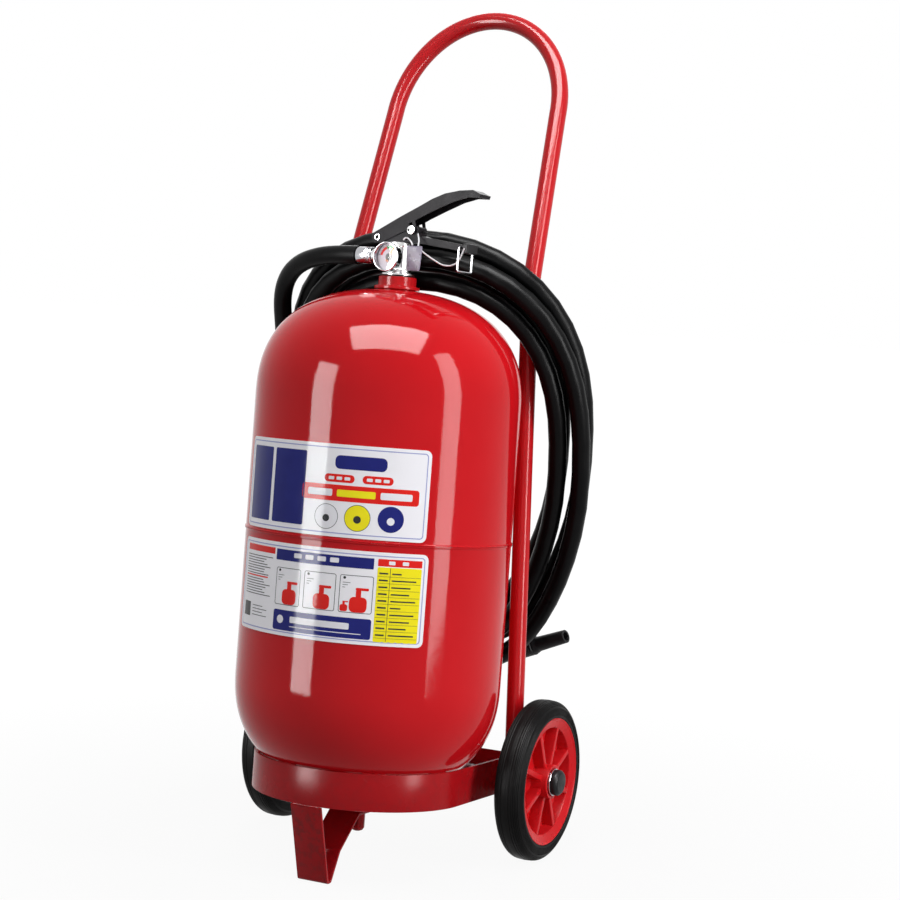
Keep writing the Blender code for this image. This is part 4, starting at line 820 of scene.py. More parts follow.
def make_labels():
    """Two sheets and their print: plain blocks, bars and discs, in layers of ink."""
    layers = []

    def layer(name, level, look):
        shapes = Print(LABEL_T + level * INK_T, INK_T)
        layers.append((name, shapes, look))
        return shapes

    frames = layer("label_lilac_print", 0, lilac)
    discs = layer("label_yellow_discs", 1, yellow)
    marks = layer("label_disc_marks", 2, black_ink)
    blue = layer("label_navy_print", 0, navy)
    red = layer("label_scarlet_print", 0, scarlet)
    gold = layer("label_yellow_print", 0, yellow)
    dark = layer("label_black_print", 0, black_ink)
    pale = layer("label_pale_overprint", 1, pale_ink)
    lines = layer("label_black_overprint", 1, black_ink)

    border = degrees(BORDER_IN / TANK_R)
    for name, (low, high), right in (
        ("upper_label", UPPER_LABEL, UPPER_RIGHT),
        ("lower_label", LOWER_LABEL, LOWER_RIGHT),
    ):
        sheet = Print(0.0, LABEL_T)
        sheet.bar(LABEL_LEFT, right, low, high, LABEL_CORNER)
        facts = {"cad": name, "sharp": 40}
        piece(f"{name}_sheet", sheet.points, sheet.faces, label_white, TANK, **facts)
        inside = low + BORDER_IN, high - BORDER_IN
        frames.ring(LABEL_LEFT + border, right - border, *inside, BORDER_WIDTH)

    # left, right, low, high, corner
    for shapes, *bar in (
        (blue, -41.8, -24.8, 0.3590, 0.4335, 0.0016),
        (blue, -22.8, -5.2, 0.3590, 0.4335, 0.0016),
        (blue, 8.0, 29.5, 0.4180, 0.4315, 0.0050),
        (red, 3.8, 16.6, 0.4046, 0.4126, 0.0038),
        (red, 19.9, 32.4, 0.4050, 0.4131, 0.0038),
        (red, -6.2, 43.4, 0.3860, 0.4020, 0.0030),
        (pale, -3.4, 7.6, 0.3905, 0.3975, 0.0015),
        (pale, 27.6, 40.6, 0.3905, 0.3975, 0.0015),
        (discs, 9.6, 25.6, 0.3905, 0.3975, 0.0015),
        (red, -41.2, -18.8, 0.3262, 0.3326, 0.0004),
        (dark, -41.2, -35.0, 0.2590, 0.2735, 0.0004),
        (blue, -17.8, 27.0, 0.3212, 0.3322, 0.0006),
        (blue, -17.2, 27.6, 0.2512, 0.2716, 0.0024),
        (pale, -8.0, 18.6, 0.2598, 0.2662, 0.0012),
        (pale, -8.0, 23.6, 0.2556, 0.2564, 0.0002),
        (gold, 28.6, 46.8, 0.2496, 0.3242, 0.0016),
        (red, 28.6, 46.8, 0.3250, 0.3322, 0.0008),
        (pale, 33.0, 35.6, 0.3268, 0.3304, 0.0008),
        (pale, 38.6, 41.2, 0.3268, 0.3304, 0.0008),
        (lines, 33.7, 33.9, 0.2506, 0.3236, 0.0001),
    ):
        shapes.bar(*bar)
    # angle, height, radius
    for shapes, *disc in (
        (discs, 18.8, 0.3705, 0.0126),
        (dark, 5.6, 0.3700, 0.0126),
        (dark, 18.8, 0.3705, 0.0132),
        (blue, 32.4, 0.3715, 0.0130),
        (pale, 5.6, 0.3700, 0.0121),
        (pale, 32.4, 0.3695, 0.0038),
        (marks, 5.6, 0.3685, 0.0036),
        (marks, 18.8, 0.3690, 0.0038),
        (pale, -13.2, 0.2622, 0.0042),
    ):
        shapes.disc(*disc)
    for i in range(3):
        for left, low in ((5.6, 0.4070), (21.6, 0.4074)):
            pale.bar(left + 3.4 * i, left + 2.4 + 3.4 * i, low, low + 0.0032, 0.0008)
    for i in range(4):
        pale.bar(-8.0 + 5.6 * i, -4.2 + 5.6 * i, 0.3250, 0.3298, 0.0010)

    heading_row = 8
    for i in range(16):
        low = 0.3213 - 0.0026 * i
        shapes, thick = (red, 0.0014) if i == heading_row else (dark, 0.0008)
        shapes.bar(-41.2, -20.0 - 6.0 * abs(sin(2.3 * i)), low, low + thick, 0.0001)
    for i in range(4):
        low = 0.2610 + 0.0032 * i
        dark.bar(-33.0, -22.0 - 3.0 * (i % 2), low, low + 0.0007, 0.0001)
    for i, (left, right) in enumerate(((-17.0, -4.0), (-2.2, 12.0), (13.6, 27.4))):
        dark.ring(left, right, 0.2766, 0.3140, 0.0006)
        red.bottle(0.42 * left + 0.58 * right, 0.2774, 0.0295, 0.02 * i)
        dark.disc(left + 1.9, 0.3112, 0.0014, 10)
        for k in range(3):
            low = 0.3062 - 0.0024 * k
            dark.bar(left + 1.2, left + 4.4 - k, low, low + 0.0005, 0.0001)
    red.bottle(15.8, 0.2778, 0.0130, 0.0)
    for i in range(10):
        low = 0.3172 - 0.0068 * i
        lines.bar(28.8, 46.6, low - 0.0024, low - 0.0021, 0.0001)
        lines.bar(29.4, 33.0, low, low + 0.0016, 0.0002)
        lines.bar(34.6, 38.5 + 6.6 * abs(sin(1.9 * i)), low, low + 0.0014, 0.0002)

    for name, shapes, look in layers:
        piece(name, shapes.points, shapes.faces, look, TANK, sharp=40)


# ---- Base -----------------------------------------------------------------------------------
def dome_radius(z):
    depth = min(max((DOME_LOW - z) / DOME_HEIGHT, 0.0), 1.0)
    return TANK_R * (1 - depth**DOME_POWER) ** (1 / DOME_POWER)


BAND_IN = dome_radius(BAND_BOTTOM + BAND_HEIGHT) + BAND_SEAT_GAP
BAND_OUT = BAND_IN + BAND_T
LEG_X = BAND_OUT + LEG_PLAY + GAP + TUBE_R
HUB_X = LEG_X + TUBE_R + SPACER_T + 2 * GAP


def make_base():
    arm_end = AXLE_Y + BAND_TAIL
    mid = BAND_BOTTOM + BAND_HEIGHT / 2
    steps = 96
    arc = [
        (-BAND_IN * cos(pi * i / steps), -BAND_IN * sin(pi * i / steps), mid)
        for i in range(steps + 1)
    ]
    path = [(-BAND_IN, arm_end, mid), *arc, (BAND_IN, arm_end, mid)]
    strap(
        "band_strip", path, (0, 0, -1), BAND_HEIGHT / 2, BAND_T, shaded_strap_red, TANK, 0.0009,
        cad="base_band",
    )
    bar_y = AXLE_Y + CROSS_BAR_BEHIND_AXLE + CROSS_BAR_T / 2
    bar_z = BAND_BOTTOM + CROSS_BAR_ABOVE_BAND + CROSS_BAR_HEIGHT / 2
    block(
        "cross_plate", (2 * (BAND_IN - GAP), CROSS_BAR_T, CROSS_BAR_HEIGHT), (0, bar_y, bar_z),
        shaded_strap_red, TANK, 0.0007, cad="cross_bar",
    )
    for sign, side in ((-1, "left"), (1, "right")):
        x = sign * (BAND_IN - 0.0012)
        weld_run(
            f"{side}_cross_weld",
            [(x, bar_y - 0.0022, mid - 0.013), (x, bar_y - 0.0022, mid + 0.019)], 0.0011, 0.0030,
            shaded_strap_red,
        )
    seat = mid + BAND_HEIGHT / 2 - 0.0004
    for index, start in enumerate((-150, -112, -62, -24)):
        run = []
        for i in range(7):
            turn = radians(start + 2.2 * i)
            run.append(((BAND_IN + 0.0006) * cos(turn), (BAND_IN + 0.0006) * sin(turn), seat))
        weld_run(f"band_weld_{index}", run, 0.0013, 0.0034, shaded_strap_red)


def ground_z(y):
    return (y * sin(LEAN) - tank_foot.z) / cos(LEAN)


def make_foot():
    tab_low = TANK_BASE - BOSS_HEIGHT - 2 * GAP - FOOT_T
    toe = Vector((0, -FOOT_TOE, ground_z(-FOOT_TOE)))
    limb_end = Vector((0, -BAND_OUT - GAP, BAND_BOTTOM - GAP))
    way = (limb_end - toe).normalized()
    limb_end -= way * FOOT_T * abs(way.y) / way.z
    corners = [
        (0, 0.022, tab_low),
        (0, -0.030, tab_low),
        (0, -0.0655, 0.0232),
        (0, -FOOT_HEEL, ground_z(-FOOT_HEEL)),
        toe,
        limb_end,
    ]
    strap(
        "foot_bent_strap", filleted(corners, 0.004, 5), (-1, 0, 0), FOOT_WIDTH / 2, FOOT_T,
        shaded_strap_red, TANK, 0.0008, cad="foot_strap",
    )
    top = Vector(limb_end) + Vector((0, 0.0012, 0.0010))
    weld_run(
        "foot_weld", [top + Vector((x, 0, 0)) for x in (-0.016, 0.0, 0.016)], 0.0012, 0.0034,
        shaded_strap_red,
    )


# ---- Handle tube ----------------------------------------------------------------------------
def make_handle():
    bend_r = TANK_R + LEG_BEND_STANDOFF
    bend = Vector(
        (
            bend_r * cos(radians(LEG_BEND_ANGLE)), bend_r * sin(radians(LEG_BEND_ANGLE)),
            NECK_TOP - LEG_BEND_BELOW_NECK,
        )
    )
    up = Vector((0, sin(radians(HANDLE_LEAN)), cos(radians(HANDLE_LEAN))))
    leg_top = Vector((LEG_X, AXLE_Y, AXLE_Z))
    leg_foot = leg_top - (bend - leg_top).normalized() * LEG_BELOW_AXLE
    shoulder_x = bend.x - HANDLE_INSET
    start = Vector((0, bend.y, bend.z))
    right = filleted(
        [leg_foot, bend, Vector((shoulder_x, 0, 0)) + start + up * HANDLE_STRAIGHT], BEND_FILLET,
        16,
    )
    steps = 48
    arch = []
    for i in range(1, steps):
        angle = pi * i / steps
        rise = HANDLE_STRAIGHT + ARCH_RISE * sin(angle)
        arch.append(Vector((shoulder_x * cos(angle), 0, 0)) + start + up * rise)
    left = [Vector((-point.x, point.y, point.z)) for point in reversed(right)]
    tube(
        "handle_bent_tube", right + arch + left, TUBE_R, tube_red, TANK, 28, cad="handle_tube",
        sharp=60,
    )


# ---- Wheels ---------------------------------------------------------------------------------
def make_wheel(side, sign):
    body = f"{side}_wheel"
    axle = Matrix.Translation(axle_at)
    turn = Matrix.Rotation(sign * pi / 2, 4, "Y")
    hub = axle @ Matrix.Translation((sign * HUB_X, 0, 0)) @ turn
    rim_end = RIM_START + RIM_WIDTH
    flange_z = rim_end - RIM_FLANGE_DROP
    rim = [
        (RIM_R, rim_end),
        (RIM_R, RIM_START),
        (RIM_R - RIM_WALL, RIM_START),
        (WEB_R - RIM_WALL / 2, WEB_START),
        (HUB_R, WEB_START),
        (HUB_R, 0),
        (BUSH_SEAT_R, 0),
        (BUSH_SEAT_R, HUB_LENGTH - HUB_RECESS),
        (HUB_RECESS_R, HUB_LENGTH - HUB_RECESS),
        (HUB_RECESS_R, HUB_LENGTH),
        (HUB_R, HUB_LENGTH),
        (HUB_R, WEB_START + WEB_T),
        (WEB_R, WEB_START + WEB_T),
        (RIM_FLANGE_R, flange_z),
        (RIM_R - 0.0020, rim_end - 0.0010),
        (RIM_R - 0.0010, rim_end),
    ]
    lathe(f"{side}_wheel_rim", rim, rim_red, hub, 96, 0.0008, body=body, cad=f"{side}_rim")
    length = RIM_FLANGE_R - HUB_RECESS_R - 0.0012
    height = flange_z - WEB_START - WEB_T / 2
    for i in range(RIB_COUNT):
        spoke = hub @ Matrix.Rotation(2 * pi * (i + 0.5) / RIB_COUNT, 4, "Z")
        block(
            f"{side}_rib_{i}", (length, RIB_T, height),
            (RIM_FLANGE_R - length / 2, 0, flange_z - height / 2), rim_red, spoke, 0.0006,
            body=body,
        )
    inner = RIM_R + GAP
    mid = TYRE_WIDTH / 2
    knee = inner + 0.35 * TYRE_SHOULDER
    shoulder = WHEEL_R - TYRE_SHOULDER
    half = [(inner, mid), (knee, mid)]
    for i in range(GROOVES):
        share = (i + 0.5) / GROOVES
        r, z = knee + (shoulder - knee) * share, mid - 0.10 * TYRE_SHOULDER * share
        half += [
            (r - 0.0004, z), (r - 0.0001, z - GROOVE_DEPTH), (r + 0.0001, z - GROOVE_DEPTH),
            (r + 0.0004, z),
        ]
    crown = [
        (shoulder, mid - 0.10 * TYRE_SHOULDER),
        (WHEEL_R - 0.45 * TYRE_SHOULDER, mid - 0.45 * TYRE_SHOULDER),
        (WHEEL_R - 0.10 * TYRE_SHOULDER, mid - TYRE_SHOULDER),
        (WHEEL_R, 0),
    ]
    middle = Vector(((inner + WHEEL_R) / 2, 0, 0))
    for i, point in enumerate(smooth_run([(r, z, 0) for r, z in crown], 48)):
        if 6 <= i <= 40 and i % 6 in (3, 4):
            point += (middle - point).normalized() * RIDGE_DEPTH
        half.append((point.x, point.y))
    centre = TYRE_START + mid
    outline = [(r, centre + z) for r, z in half] + [(r, centre - z) for r, z in reversed(half[:-1])]
    lathe(
        f"{side}_tyre_tread", outline, tyre_black, hub, 120, 0.0002, body=body, cad=f"{side}_tyre",
        sharp=40,
    )
    lathe(
        f"{side}_sleeve", sleeve(BUSH_R, BUSH_BORE, 0, HUB_LENGTH - HUB_RECESS), nylon, hub, 40,
        0.0003, body=body, cad=f"{side}_bush",
    )

    washer_x = HUB_X + HUB_LENGTH + GAP
    cap_x = washer_x + RETAINER_T + GAP
    cap = [
        (0, CAP_HEIGHT),
        (0.0110, CAP_HEIGHT),
        (CAP_R, 0.0047),
        (CAP_R, 0),
        (BUSH_BORE, 0),
        (BUSH_BORE, CAP_DEPTH),
        (0, CAP_DEPTH),
    ]
    spacer = sleeve(SPACER_R, BUSH_BORE, 0, SPACER_T)
    washer = sleeve(RETAINER_R, BUSH_BORE, 0, RETAINER_T)
    for name, node, outline, look, at, steps, edge in (
        ("spacer_ring", "spacer", spacer, steel, HUB_X - GAP - SPACER_T, 48, 0.0004),
        ("washer_ring", "retainer", washer, chrome, washer_x, 64, 0.0005),
        ("push_cap", "axle_cap", cap, black_plastic, cap_x, 56, 0.0012),
    ):
        seat = axle @ Matrix.Translation((sign * at, 0, 0)) @ turn
        lathe(f"{side}_{name}", outline, look, seat, steps, edge, cad=f"{side}_{node}")


# ---- Valve and gauge ------------------------------------------------------------------------
def make_valve():
    flange_top = VALVE_SEAT + VALVE_FLANGE_T
    body = [
        (VALVE_R, VALVE_TOP),
        (VALVE_R, VALVE_TOP - 0.0040),
        (VALVE_R - 0.0007, VALVE_TOP - 0.0046),
        (VALVE_R - 0.0007, flange_top + 0.0050),
        (VALVE_R, flange_top + 0.0042),
        (VALVE_R, flange_top),
        (VALVE_FLANGE_R, flange_top),
        (VALVE_FLANGE_R, VALVE_SEAT),
        (SPIGOT_R, VALVE_SEAT),
        (SPIGOT_R, -SPIGOT_DEPTH),
        (CHAMBER_R, -SPIGOT_DEPTH),
        (CHAMBER_R, CHAMBER_TOP),
        (STEM_BORE_R, CHAMBER_TOP),
        (STEM_BORE_R, VALVE_TOP),
    ]
    lathe("valve_casting", body, cast_chrome, VALVE, 72, 0.0006, cad="valve_body")
    outlet = VALVE @ Matrix.Translation((0, 0, OUTLET_Z)) @ LEFTWARD
    spout = sleeve(OUTLET_BORE_R, OUTLET_R, 0.010, OUTLET_END)
    lathe("valve_spout", spout, cast_chrome, outlet, 48, 0.0006)
    start = OUTLET_END + GAP
    knurl = [(0.0045, start), (COUPLING_R - 0.0007, start), (COUPLING_R, start + 0.0010)]
    for i in range(4):
        z = start + 0.0030 + i * 0.0012
        knurl += [
            (COUPLING_R, z), (COUPLING_R - 0.0005, z + 0.0003), (COUPLING_R - 0.0005, z + 0.0006),
            (COUPLING_R, z + 0.0009),
        ]
    end = start + COUPLING_LENGTH
    knurl += [(COUPLING_R, end - 0.0010), (COUPLING_R - 0.0007, end), (0.0045, end)]
    lathe("coupling_sleeve", knurl, chrome, outlet, 56, 0.0002, cad="hose_coupling")
    seal = sleeve(VALVE_FLANGE_R - GAP, SPIGOT_R + GAP, GAP, SEAL_T)
    lathe("valve_seal_ring", seal, hose_black, VALVE, 48, 0.0003, cad="valve_seal")


def make_gauge():
    face = VALVE @ Matrix.Translation((0, -GAUGE_BACK, GAUGE_Z)) @ FORWARD
    cup = GAUGE_R - GAUGE_WALL
    case = [
        (GAUGE_R - 0.0008, GAUGE_DEPTH),
        (GAUGE_R, GAUGE_DEPTH - 0.0012),
        (GAUGE_R, GAUGE_DEPTH - 0.0030),
        (GAUGE_R - 0.0006, GAUGE_DEPTH - 0.0034),
        (GAUGE_R - 0.0006, 0.0012),
        (GAUGE_R - 0.0016, 0),
        (0.0050, 0),
        (0.0050, -0.0065),
        (0, -0.0065),
        (0, 0.0007),
        (0.0010, 0.0007),
        (0.0010, GAUGE_FLOOR),
        (cup, GAUGE_FLOOR),
        (cup, GAUGE_DEPTH),
    ]
    lathe("gauge_cup", case, chrome, face, 72, 0.0005, cad="gauge_case")
    dial_low = GAUGE_FLOOR + GAP
    dial_top = dial_low + 0.0006
    lathe(
        "gauge_face", sleeve(0.0010, cup - GAP, dial_low, dial_top), dial_white, face, 64, 0.0002,
        cad="gauge_dial",
    )

    def sector(name, inner, outer, start, stop, look):
        """A flat arc printed on the dial."""
        points = []
        steps = max(2, int(abs(stop - start) / 6))
        ink_top = dial_top + INK_T
        for i in range(steps + 1):
            turn = radians(90 + start + (stop - start) * i / steps)
            ring = ((inner, dial_top), (inner, ink_top), (outer, ink_top), (outer, dial_top))
            points += [(r * cos(turn), r * sin(turn), z) for r, z in ring]
        piece(name, points, skin(steps + 1, 4), look, face, slot="dial_white")

    sector("dial_low_zone", 0.0086, 0.0112, 22, 80, scarlet)
    sector("dial_work_zone", 0.0086, 0.0112, -20, 20, dial_green)
    sector("dial_high_zone", 0.0086, 0.0112, -80, -22, yellow)
    for i in range(9):
        turn = -80 + 20 * i
        sector(
            f"dial_tick_{i}", 0.0116, 0.0130 if i % 2 else 0.0134, turn - 1.2, turn + 1.2,
            black_ink,
        )
    lens_low = GAUGE_DEPTH - 0.0022
    lens = [
        (0, lens_low + 0.0014), (cup * 0.5, lens_low + 0.00132), (cup - GAP, lens_low + 0.0010),
        (cup - GAP, lens_low), (0, lens_low),
    ]
    lathe("gauge_window", lens, lens_clear, face, 64, 0.0001, cad="gauge_lens")
    hand = face @ Matrix.Translation((0, 0, dial_top + 2 * GAP)) @ Matrix.Rotation(
        radians(-NEEDLE_REST), 4, "Z",
    )
    boss = [
        (0, 0.0012), (0.0037, 0.0012), (0.0037, 0), (0.0007, 0), (0.0007, -0.0019), (0, -0.0019),
    ]
    lathe("needle_boss", boss, boss_grey, hand, 40, 0.0004, body="needle", cad="gauge_needle")
    tip, tail, half = 0.0098, -0.0050, 0.0013
    outline = [
        (-half, tail), (half, tail), (half * 0.9, 0.004), (0.0002, tip), (-0.0002, tip),
        (-half * 0.9, 0.004),
    ]
    points = [(x, y, z) for z in (0.0003, 0.0009) for x, y in outline]
    piece("needle_hand", points, skin(2, len(outline)), orange, hand, body="needle")


# ---- Lever, pins, seal and bail -------------------------------------------------------------
def soften(node, look, width):
    """A frame node kept as it is, with its edges softened and its own finish."""
    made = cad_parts[node]
    for slot in made.material_slots:
        slot.material = look
    if width:
        rounding = made.modifiers.new("Edges", "BEVEL")
        rounding.width = width
        rounding.segments = 3
        rounding.limit_method = "ANGLE"
        rounding.angle_limit = radians(35)
        rounding.harden_normals = False


def make_fittings():
    for node, look, width in (
        ("operating_lever", black_metal, 0.0005),
        ("carry_handle", black_metal, 0.0005),
        ("grip_cap", black_plastic, 0.0),
        ("valve_stem", brass, 0.0),
        ("valve_spring", steel, 0.0),
        ("siphon_tube", nylon, 0.0),
        ("base_stud", steel, 0.0),
        ("axle", steel, 0.0),
        ("tank_boss", shaded_strap_red, 0.0004),
        ("sleeve_nut", shaded_strap_red, 0.0),
        ("base_washer", chrome, 0.0003),
    ):
        soften(node, look, width)
    hinge = VALVE @ Matrix.Translation(HINGE_AT) @ FORWARD
    z = PIN_HEAD_Z
    rivet = [
        (0.0014, z + 0.0004),
        (RIVET_R, z + RIVET_HEAD_T),
        (RIVET_HEAD_R, z + RIVET_HEAD_T),
        (RIVET_HEAD_R, z),
        (RIVET_R, z),
        (RIVET_R, -z),
        (RIVET_HEAD_R, -z),
        (RIVET_HEAD_R, -z - RIVET_HEAD_T),
        (0, -z - RIVET_HEAD_T),
        (0, z + 0.0004),
    ]
    lathe("hinge_rivet", rivet, chrome, hinge, 40, 0.0003, cad="lever_pin")
    # A black disc sunk in the rivet head's dimple: painted shade standing for the dark of its bore.
    painted_bore_shade = sleeve(0.0021, 0, z + 0.0005, z + 0.0009)
    lathe("hinge_rivet_bore_painted_shade", painted_bore_shade, painted_hole_shade, hinge, 24, 0.0001)
    pin = VALVE @ Matrix.Translation(SAFETY_PIN_AT) @ FORWARD
    head = z + SAFETY_HEAD_T
    shape = [
        (0, head),
        (SAFETY_HEAD_R - 0.0006, head),
        (SAFETY_HEAD_R, head - 0.0006),
        (SAFETY_HEAD_R, z),
        (SAFETY_PIN_R, z),
        (SAFETY_PIN_R, -z - SAFETY_PIN_R),
        (SAFETY_PIN_R * 0.6, -z - 1.6 * SAFETY_PIN_R),
        (0, -z - 1.6 * SAFETY_PIN_R),
    ]
    lathe(
        "locking_pin", shape, cast_chrome, pin, 40, 0.0003, body="pull_pin", cad="safety_pin",
        slot="chrome",
    )
    # A black disc on the pin head: painted shade standing for the dark of its eye hole.
    painted_eye_shade = sleeve(0.0015, 0, head - 0.0004, head + 0.00015)
    offset = pin @ Matrix.Translation((-0.0020, 0, 0))
    lathe("locking_pin_eye_painted_shade", painted_eye_shade, painted_hole_shade, offset, 24, 0.0001, body="pull_pin")
    loop = rounded_loop(
        [
            (0, -BAIL_HALF, 0), (0, BAIL_HALF, 0), (0, BAIL_HALF, -BAIL_DROP),
            (0, -BAIL_HALF, -BAIL_DROP),
        ],
        0.0022,
    )
    tube(
        "bail_wire", loop, BAIL_WIRE_R, chrome, VALVE @ Matrix.Translation(BAIL_AT), 14, True,
        body="bail", cad="hose_bail", sharp=70,
    )
    cord_y = -CARRY_HALF - SEAL_CORD_R - GAP
    tag_back = TAG_AT[1] + TAG_T / 2 + SEAL_CORD_R + GAP
    cord = [
        (LUG_FRONT + 0.0007, cord_y, 0.0450),
        (0.0330, -0.0150, 0.0380),
        (0.0370, tag_back, 0.0300),
        (0.0450, -0.0185, 0.0235),
        (0.0550, -0.0160, 0.0175),
        (0.0630, -0.0125, 0.0135),
        (0.0720, -0.0105, 0.0135),
        (0.0800, -0.0100, 0.0185),
        (0.0868, -0.0110, GRIP_TOP_END - GRIP_HEIGHT / 2),
    ]
    loop_route = [
        (0.0100, cord_y, WEB_LOW + 0.0025),
        (0.0150, -0.0145, 0.0402),
        (0.0215, -0.0190, 0.0396),
        (0.0275, -0.0215, 0.0360),
        (0.0300, TAG_AT[1], TAG_AT[2] + TAG_HEIGHT / 2 + GAP + SEAL_CORD_R / 2),
    ]
    tie = [
        (LUG_FRONT + GAP, 0, 0.0480), (0.0380, 0, 0.0462), (0.0480, 0, 0.0458), (0.0576, 0, 0.0472),
    ]
    for name, node, route, steps, radius, look in (
        ("seal_thread", "seal_cord", cord, 60, SEAL_CORD_R, cord_white),
        ("seal_thread_loop", "seal_loop", loop_route, 30, SEAL_CORD_R, cord_white),
        ("seal_tie_strip", "seal_tie", tie, 24, TIE_R, black_plastic),
    ):
        tube(name, smooth_run(route, steps), radius, look, VALVE, 10, cad=node, sharp=70)
    top, foot, half = 0.0095, 0.0080, TAG_HEIGHT / 2
    outline = rounded([(-top, half), (top, half), (foot, -half), (-foot, -half)], 0.0025, 5)
    rows = ((-TAG_T / 2, 0.97), (-0.3 * TAG_T, 1.0), (0.3 * TAG_T, 1.0), (TAG_T / 2, 0.97))
    points = [(point.x * share, y, point.y * share) for y, share in rows for point in outline]
    faces = skin(len(rows), len(outline))
    piece("seal_plate", points, faces, tag_film, VALVE @ Matrix.Translation(TAG_AT), cad="seal_tag")


# ---- Hose -----------------------------------------------------------------------------------
def coil_point(turns):
    """A point of the coil after so many turns: two layers, wound in and out again."""
    half = (COIL_TURNS - 0.5) / 2
    if turns < half:
        inset = turns * COIL_PITCH
    elif turns < half + 0.5:
        inset = half * COIL_PITCH
    else:
        inset = (COIL_TURNS - turns) * COIL_PITCH
    layer = 0.5 - 0.5 * cos(pi * min(max((turns - half) / 0.5, 0), 1))
    angle = radians(COIL_START) + 2 * pi * turns
    across, up = cos(angle), sin(angle)
    half_width = COIL_HALF_WIDTH * (1 + COIL_EGG * up) - inset
    x = half_width * np.sign(across) * abs(across) ** (2 / COIL_POWER)
    x += COIL_CENTRE_X + layer * LAYER_SIDE
    w = (COIL_HALF_HEIGHT - inset) * np.sign(up) * abs(up) ** (2 / COIL_POWER)
    w += layer * LAYER_RISE
    lean = atan(COIL_LEAN_SLOPE)
    y = COIL_BACK + (COIL_LEAN_PIVOT - COIL_CENTRE_Z) * COIL_LEAN_SLOPE
    y += layer * LAYER_STEP * cos(lean) - w * sin(lean)
    y += COIL_SADDLE * (x * x - COIL_SADDLE_X**2)
    z = COIL_CENTRE_Z + w * cos(lean) + layer * LAYER_STEP * sin(lean)
    return Vector((x, y, z))


def make_hose():
    steps = 2 * LOOP_STEPS
    coil_turns = [i / steps for i in range(ceil(COIL_TURNS * steps))] + [COIL_TURNS]
    coil = [coil_point(turns) for turns in coil_turns]
    start_way = (coil_point(1 / LOOP_STEPS) - coil[0]).normalized()
    end_way = (coil[-1] - coil_point(int(COIL_TURNS * LOOP_STEPS) / LOOP_STEPS)).normalized()
    entry = coil[0] - start_way * HOSE_END_RUN
    exit_point = coil[-1] + end_way * HOSE_END_RUN
    yaw = Matrix.Rotation(radians(VALVE_YAW), 3, "Z")
    lead_way = yaw @ Vector((-1, 0, 0))
    lead_start = yaw @ Vector((-OUTLET_END - COUPLING_LENGTH - 2 * GAP, 0, OUTLET_Z))
    lead_start.z += NECK_TOP
    run_a = lead_start + lead_way * LEAD_RUN
    run_b = entry - start_way * LEAD_RUN
    pull = (run_b - run_a).length * LEAD_PULL
    path = [lead_start]
    for i in range(2 * LEAD_POINTS + 1):
        t = i / (2 * LEAD_POINTS)
        h = (2 * t**3 - 3 * t**2 + 1, t**3 - 2 * t**2 + t, 3 * t**2 - 2 * t**3, t**3 - t**2)
        path.append(run_a * h[0] + lead_way * pull * h[1] + run_b * h[2] + start_way * pull * h[3])
    path += [entry, entry.lerp(coil[0], 0.5), *coil, coil[-1].lerp(exit_point, 0.5), exit_point]
    hose = tube("hose_run", path, HOSE_R, hose_black, TANK, 20, cad="hose_coil hose_lead", sharp=70)
    spin = (TANK.to_quaternion() @ end_way).to_track_quat("Z", "Y").to_matrix().to_4x4()
    seat = Matrix.Translation(TANK @ (exit_point + end_way * GAP)) @ spin
    shape = [
        (NOZZLE_TIP_R, NOZZLE_LENGTH), (NOZZLE_TIP_R + 0.0010, FERRULE_LENGTH + 0.006),
        (NOZZLE_BUTT_R - 0.0010, FERRULE_LENGTH + 0.002), (NOZZLE_BUTT_R - 0.0010, FERRULE_LENGTH),
    ]
    for i in range(5):
        z = FERRULE_LENGTH - 0.0030 - i * 0.0036
        shape += [
            (NOZZLE_BUTT_R, z + 0.0024), (NOZZLE_BUTT_R, z), (NOZZLE_BUTT_R - 0.0007, z - 0.0003),
            (NOZZLE_BUTT_R - 0.0007, z - 0.0009),
        ]
    shape += [(NOZZLE_BUTT_R - 0.0002, 0), (NOZZLE_BORE_R, 0), (NOZZLE_BORE_R, NOZZLE_LENGTH)]
    tip = lathe("nozzle_horn", shape, black_plastic, seat, 48, 0.0003, cad="nozzle")


# ---- Stage ----------------------------------------------------------------------------------
def ray_share(tree, *kinds):
    """1 for rays of these kinds and 0 for any other."""
    path = add_node(tree, "LightPath")
    found, *others = (path.outputs[f"Is {kind} Ray"] for kind in kinds)
    for other in others:
        found = maths(tree, "MAXIMUM", found, other)
    return found


def fresh_tree(owner):
    owner.use_nodes = True
    owner.node_tree.nodes.clear()
    return owner.node_tree


def join(tree, output, share, dim, bright):
    """The tree's surface: the second shader by a share, and the first for the rest."""
    mix = add_node(tree, "MixShader", {0: share, 1: dim.outputs[0], 2: bright.outputs[0]})
    add_node(tree, output, {"Surface": mix.outputs[0]})


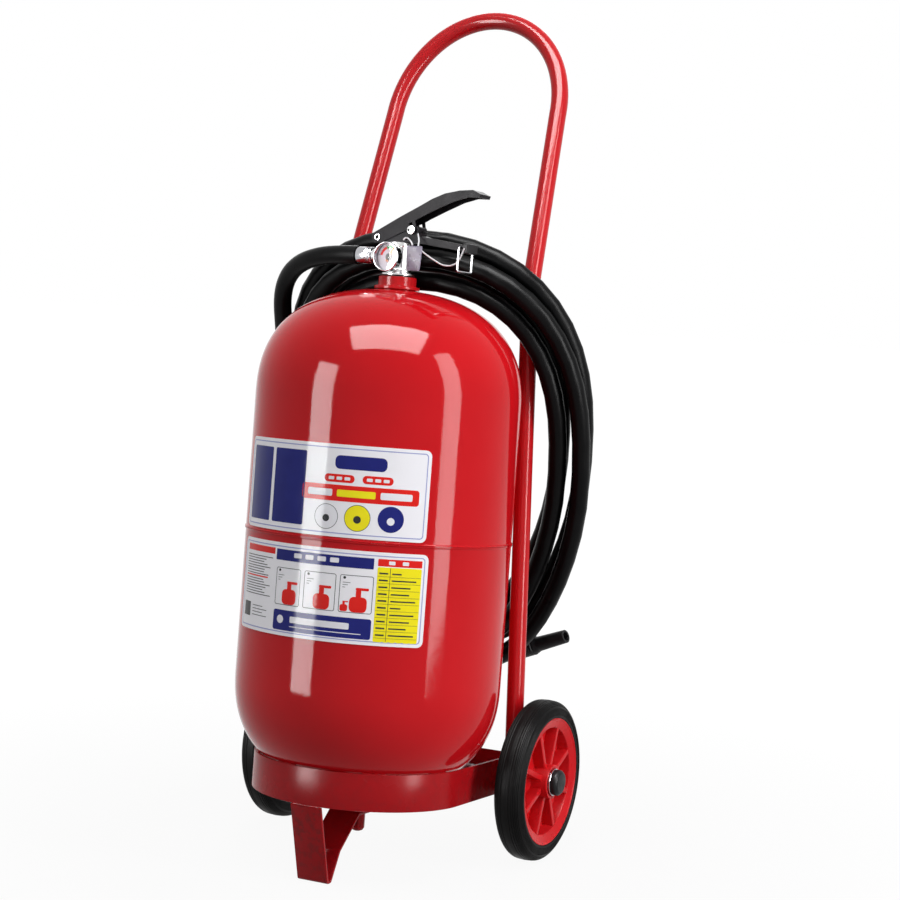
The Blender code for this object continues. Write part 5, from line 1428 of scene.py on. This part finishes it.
def make_stage():
    """A pale floor, a white world, soft boxes and the camera."""
    mesh = bpy.data.meshes.new("floor")
    corners = [(x * FLOOR_HALF, y * FLOOR_HALF, 0) for x, y in ((-1, -1), (1, -1), (1, 1), (-1, 1))]
    mesh.from_pydata(corners, [], [(0, 1, 2, 3)])
    floor = bpy.data.objects.new("floor", mesh)
    bpy.context.scene.collection.objects.link(floor)
    look = bpy.data.materials.new("floor_white")
    tree = fresh_tree(look)
    away = add_node(tree, "VectorMath", operation="LENGTH")
    tree.links.new(add_node(tree, "TexCoord").outputs["Object"], away.inputs[0])
    fade = map_range(tree, away.outputs["Value"], 0.90, 1.0, 0.3, 1.3)
    share = maths(tree, "MULTIPLY", ray_share(tree, "Camera", "Glossy"), fade)
    diffuse = add_node(tree, "BsdfDiffuse", {"Color": (0.30, 0.30, 0.30, 1)})
    glow = add_node(tree, "Emission", {"Color": WHITE, "Strength": 1.04})
    join(tree, "OutputMaterial", share, diffuse, glow)
    mesh.materials.append(look)

    world = bpy.data.worlds.new("studio")
    bpy.context.scene.world = world
    tree = fresh_tree(world)
    soft = add_node(tree, "Background", {"Color": WHITE, "Strength": 0.44})
    white = add_node(tree, "Background", {"Color": WHITE, "Strength": 1.0})
    join(tree, "OutputWorld", ray_share(tree, "Camera", "Transmission", "Glossy"), soft, white)

    aim = Vector((0, 0, 0.42))
    for name, heading, height, distance, wide, tall, radiance, fills, shines in (
        ("left_box", -28.0, 0.62, 1.9, 0.62, 1.50, 33.0, False, True),
        ("right_box", 80.0, 0.75, 1.3, 0.36, 1.48, 22.0, False, True),
        ("right_fill", 86.0, 0.90, 1.8, 0.40, 1.50, 12.0, True, False),
        ("front_box", 23.0, 2.50, 0.9, 2.10, 1.35, 36.0, False, True),
        ("top_fill", 10.0, 2.90, 0.9, 1.60, 1.60, 4.6, True, False),
        ("back_box", 200.0, 1.60, 2.2, 1.20, 1.20, 2.0, True, True),
    ):
        data = bpy.data.lights.new(name, "AREA")
        data.shape = "RECTANGLE"
        data.size, data.size_y = wide, tall
        data.energy = radiance * pi * wide * tall
        lamp = bpy.data.objects.new(name, data)
        lamp.visible_diffuse = fills
        lamp.visible_glossy = shines
        lamp.visible_transmission = False
        turn = radians(heading)
        lamp.location = (distance * sin(turn), -distance * cos(turn), height)
        lamp.rotation_euler = (aim - lamp.location).to_track_quat("-Z", "Y").to_euler()
        bpy.context.scene.collection.objects.link(lamp)

    heading, dip, roll = (radians(a) for a in (CAMERA_HEADING, CAMERA_DIP, CAMERA_ROLL))
    ahead = Vector((-sin(heading) * cos(dip), cos(heading) * cos(dip), -sin(dip)))
    right = Vector((cos(heading), sin(heading), 0))
    up = right.cross(ahead)
    across = right * cos(roll) - up * sin(roll)
    above = right * sin(roll) + up * cos(roll)
    data = bpy.data.cameras.new("camera")
    data.lens = CAMERA_LENS
    data.sensor_width = 36
    camera = bpy.data.objects.new("camera", data)
    turned = Matrix((across, above, -ahead)).transposed().to_4x4()
    camera.matrix_world = Matrix.Translation(CAMERA_AT) @ turned
    bpy.context.scene.collection.objects.link(camera)
    bpy.context.scene.camera = camera
    bpy.context.scene.view_settings.view_transform = "Standard"


make_tank()
make_labels()
make_base()
make_foot()
make_handle()
make_wheel("left", -1)
make_wheel("right", 1)
make_valve()
make_gauge()
make_fittings()
make_hose()
make_stage()
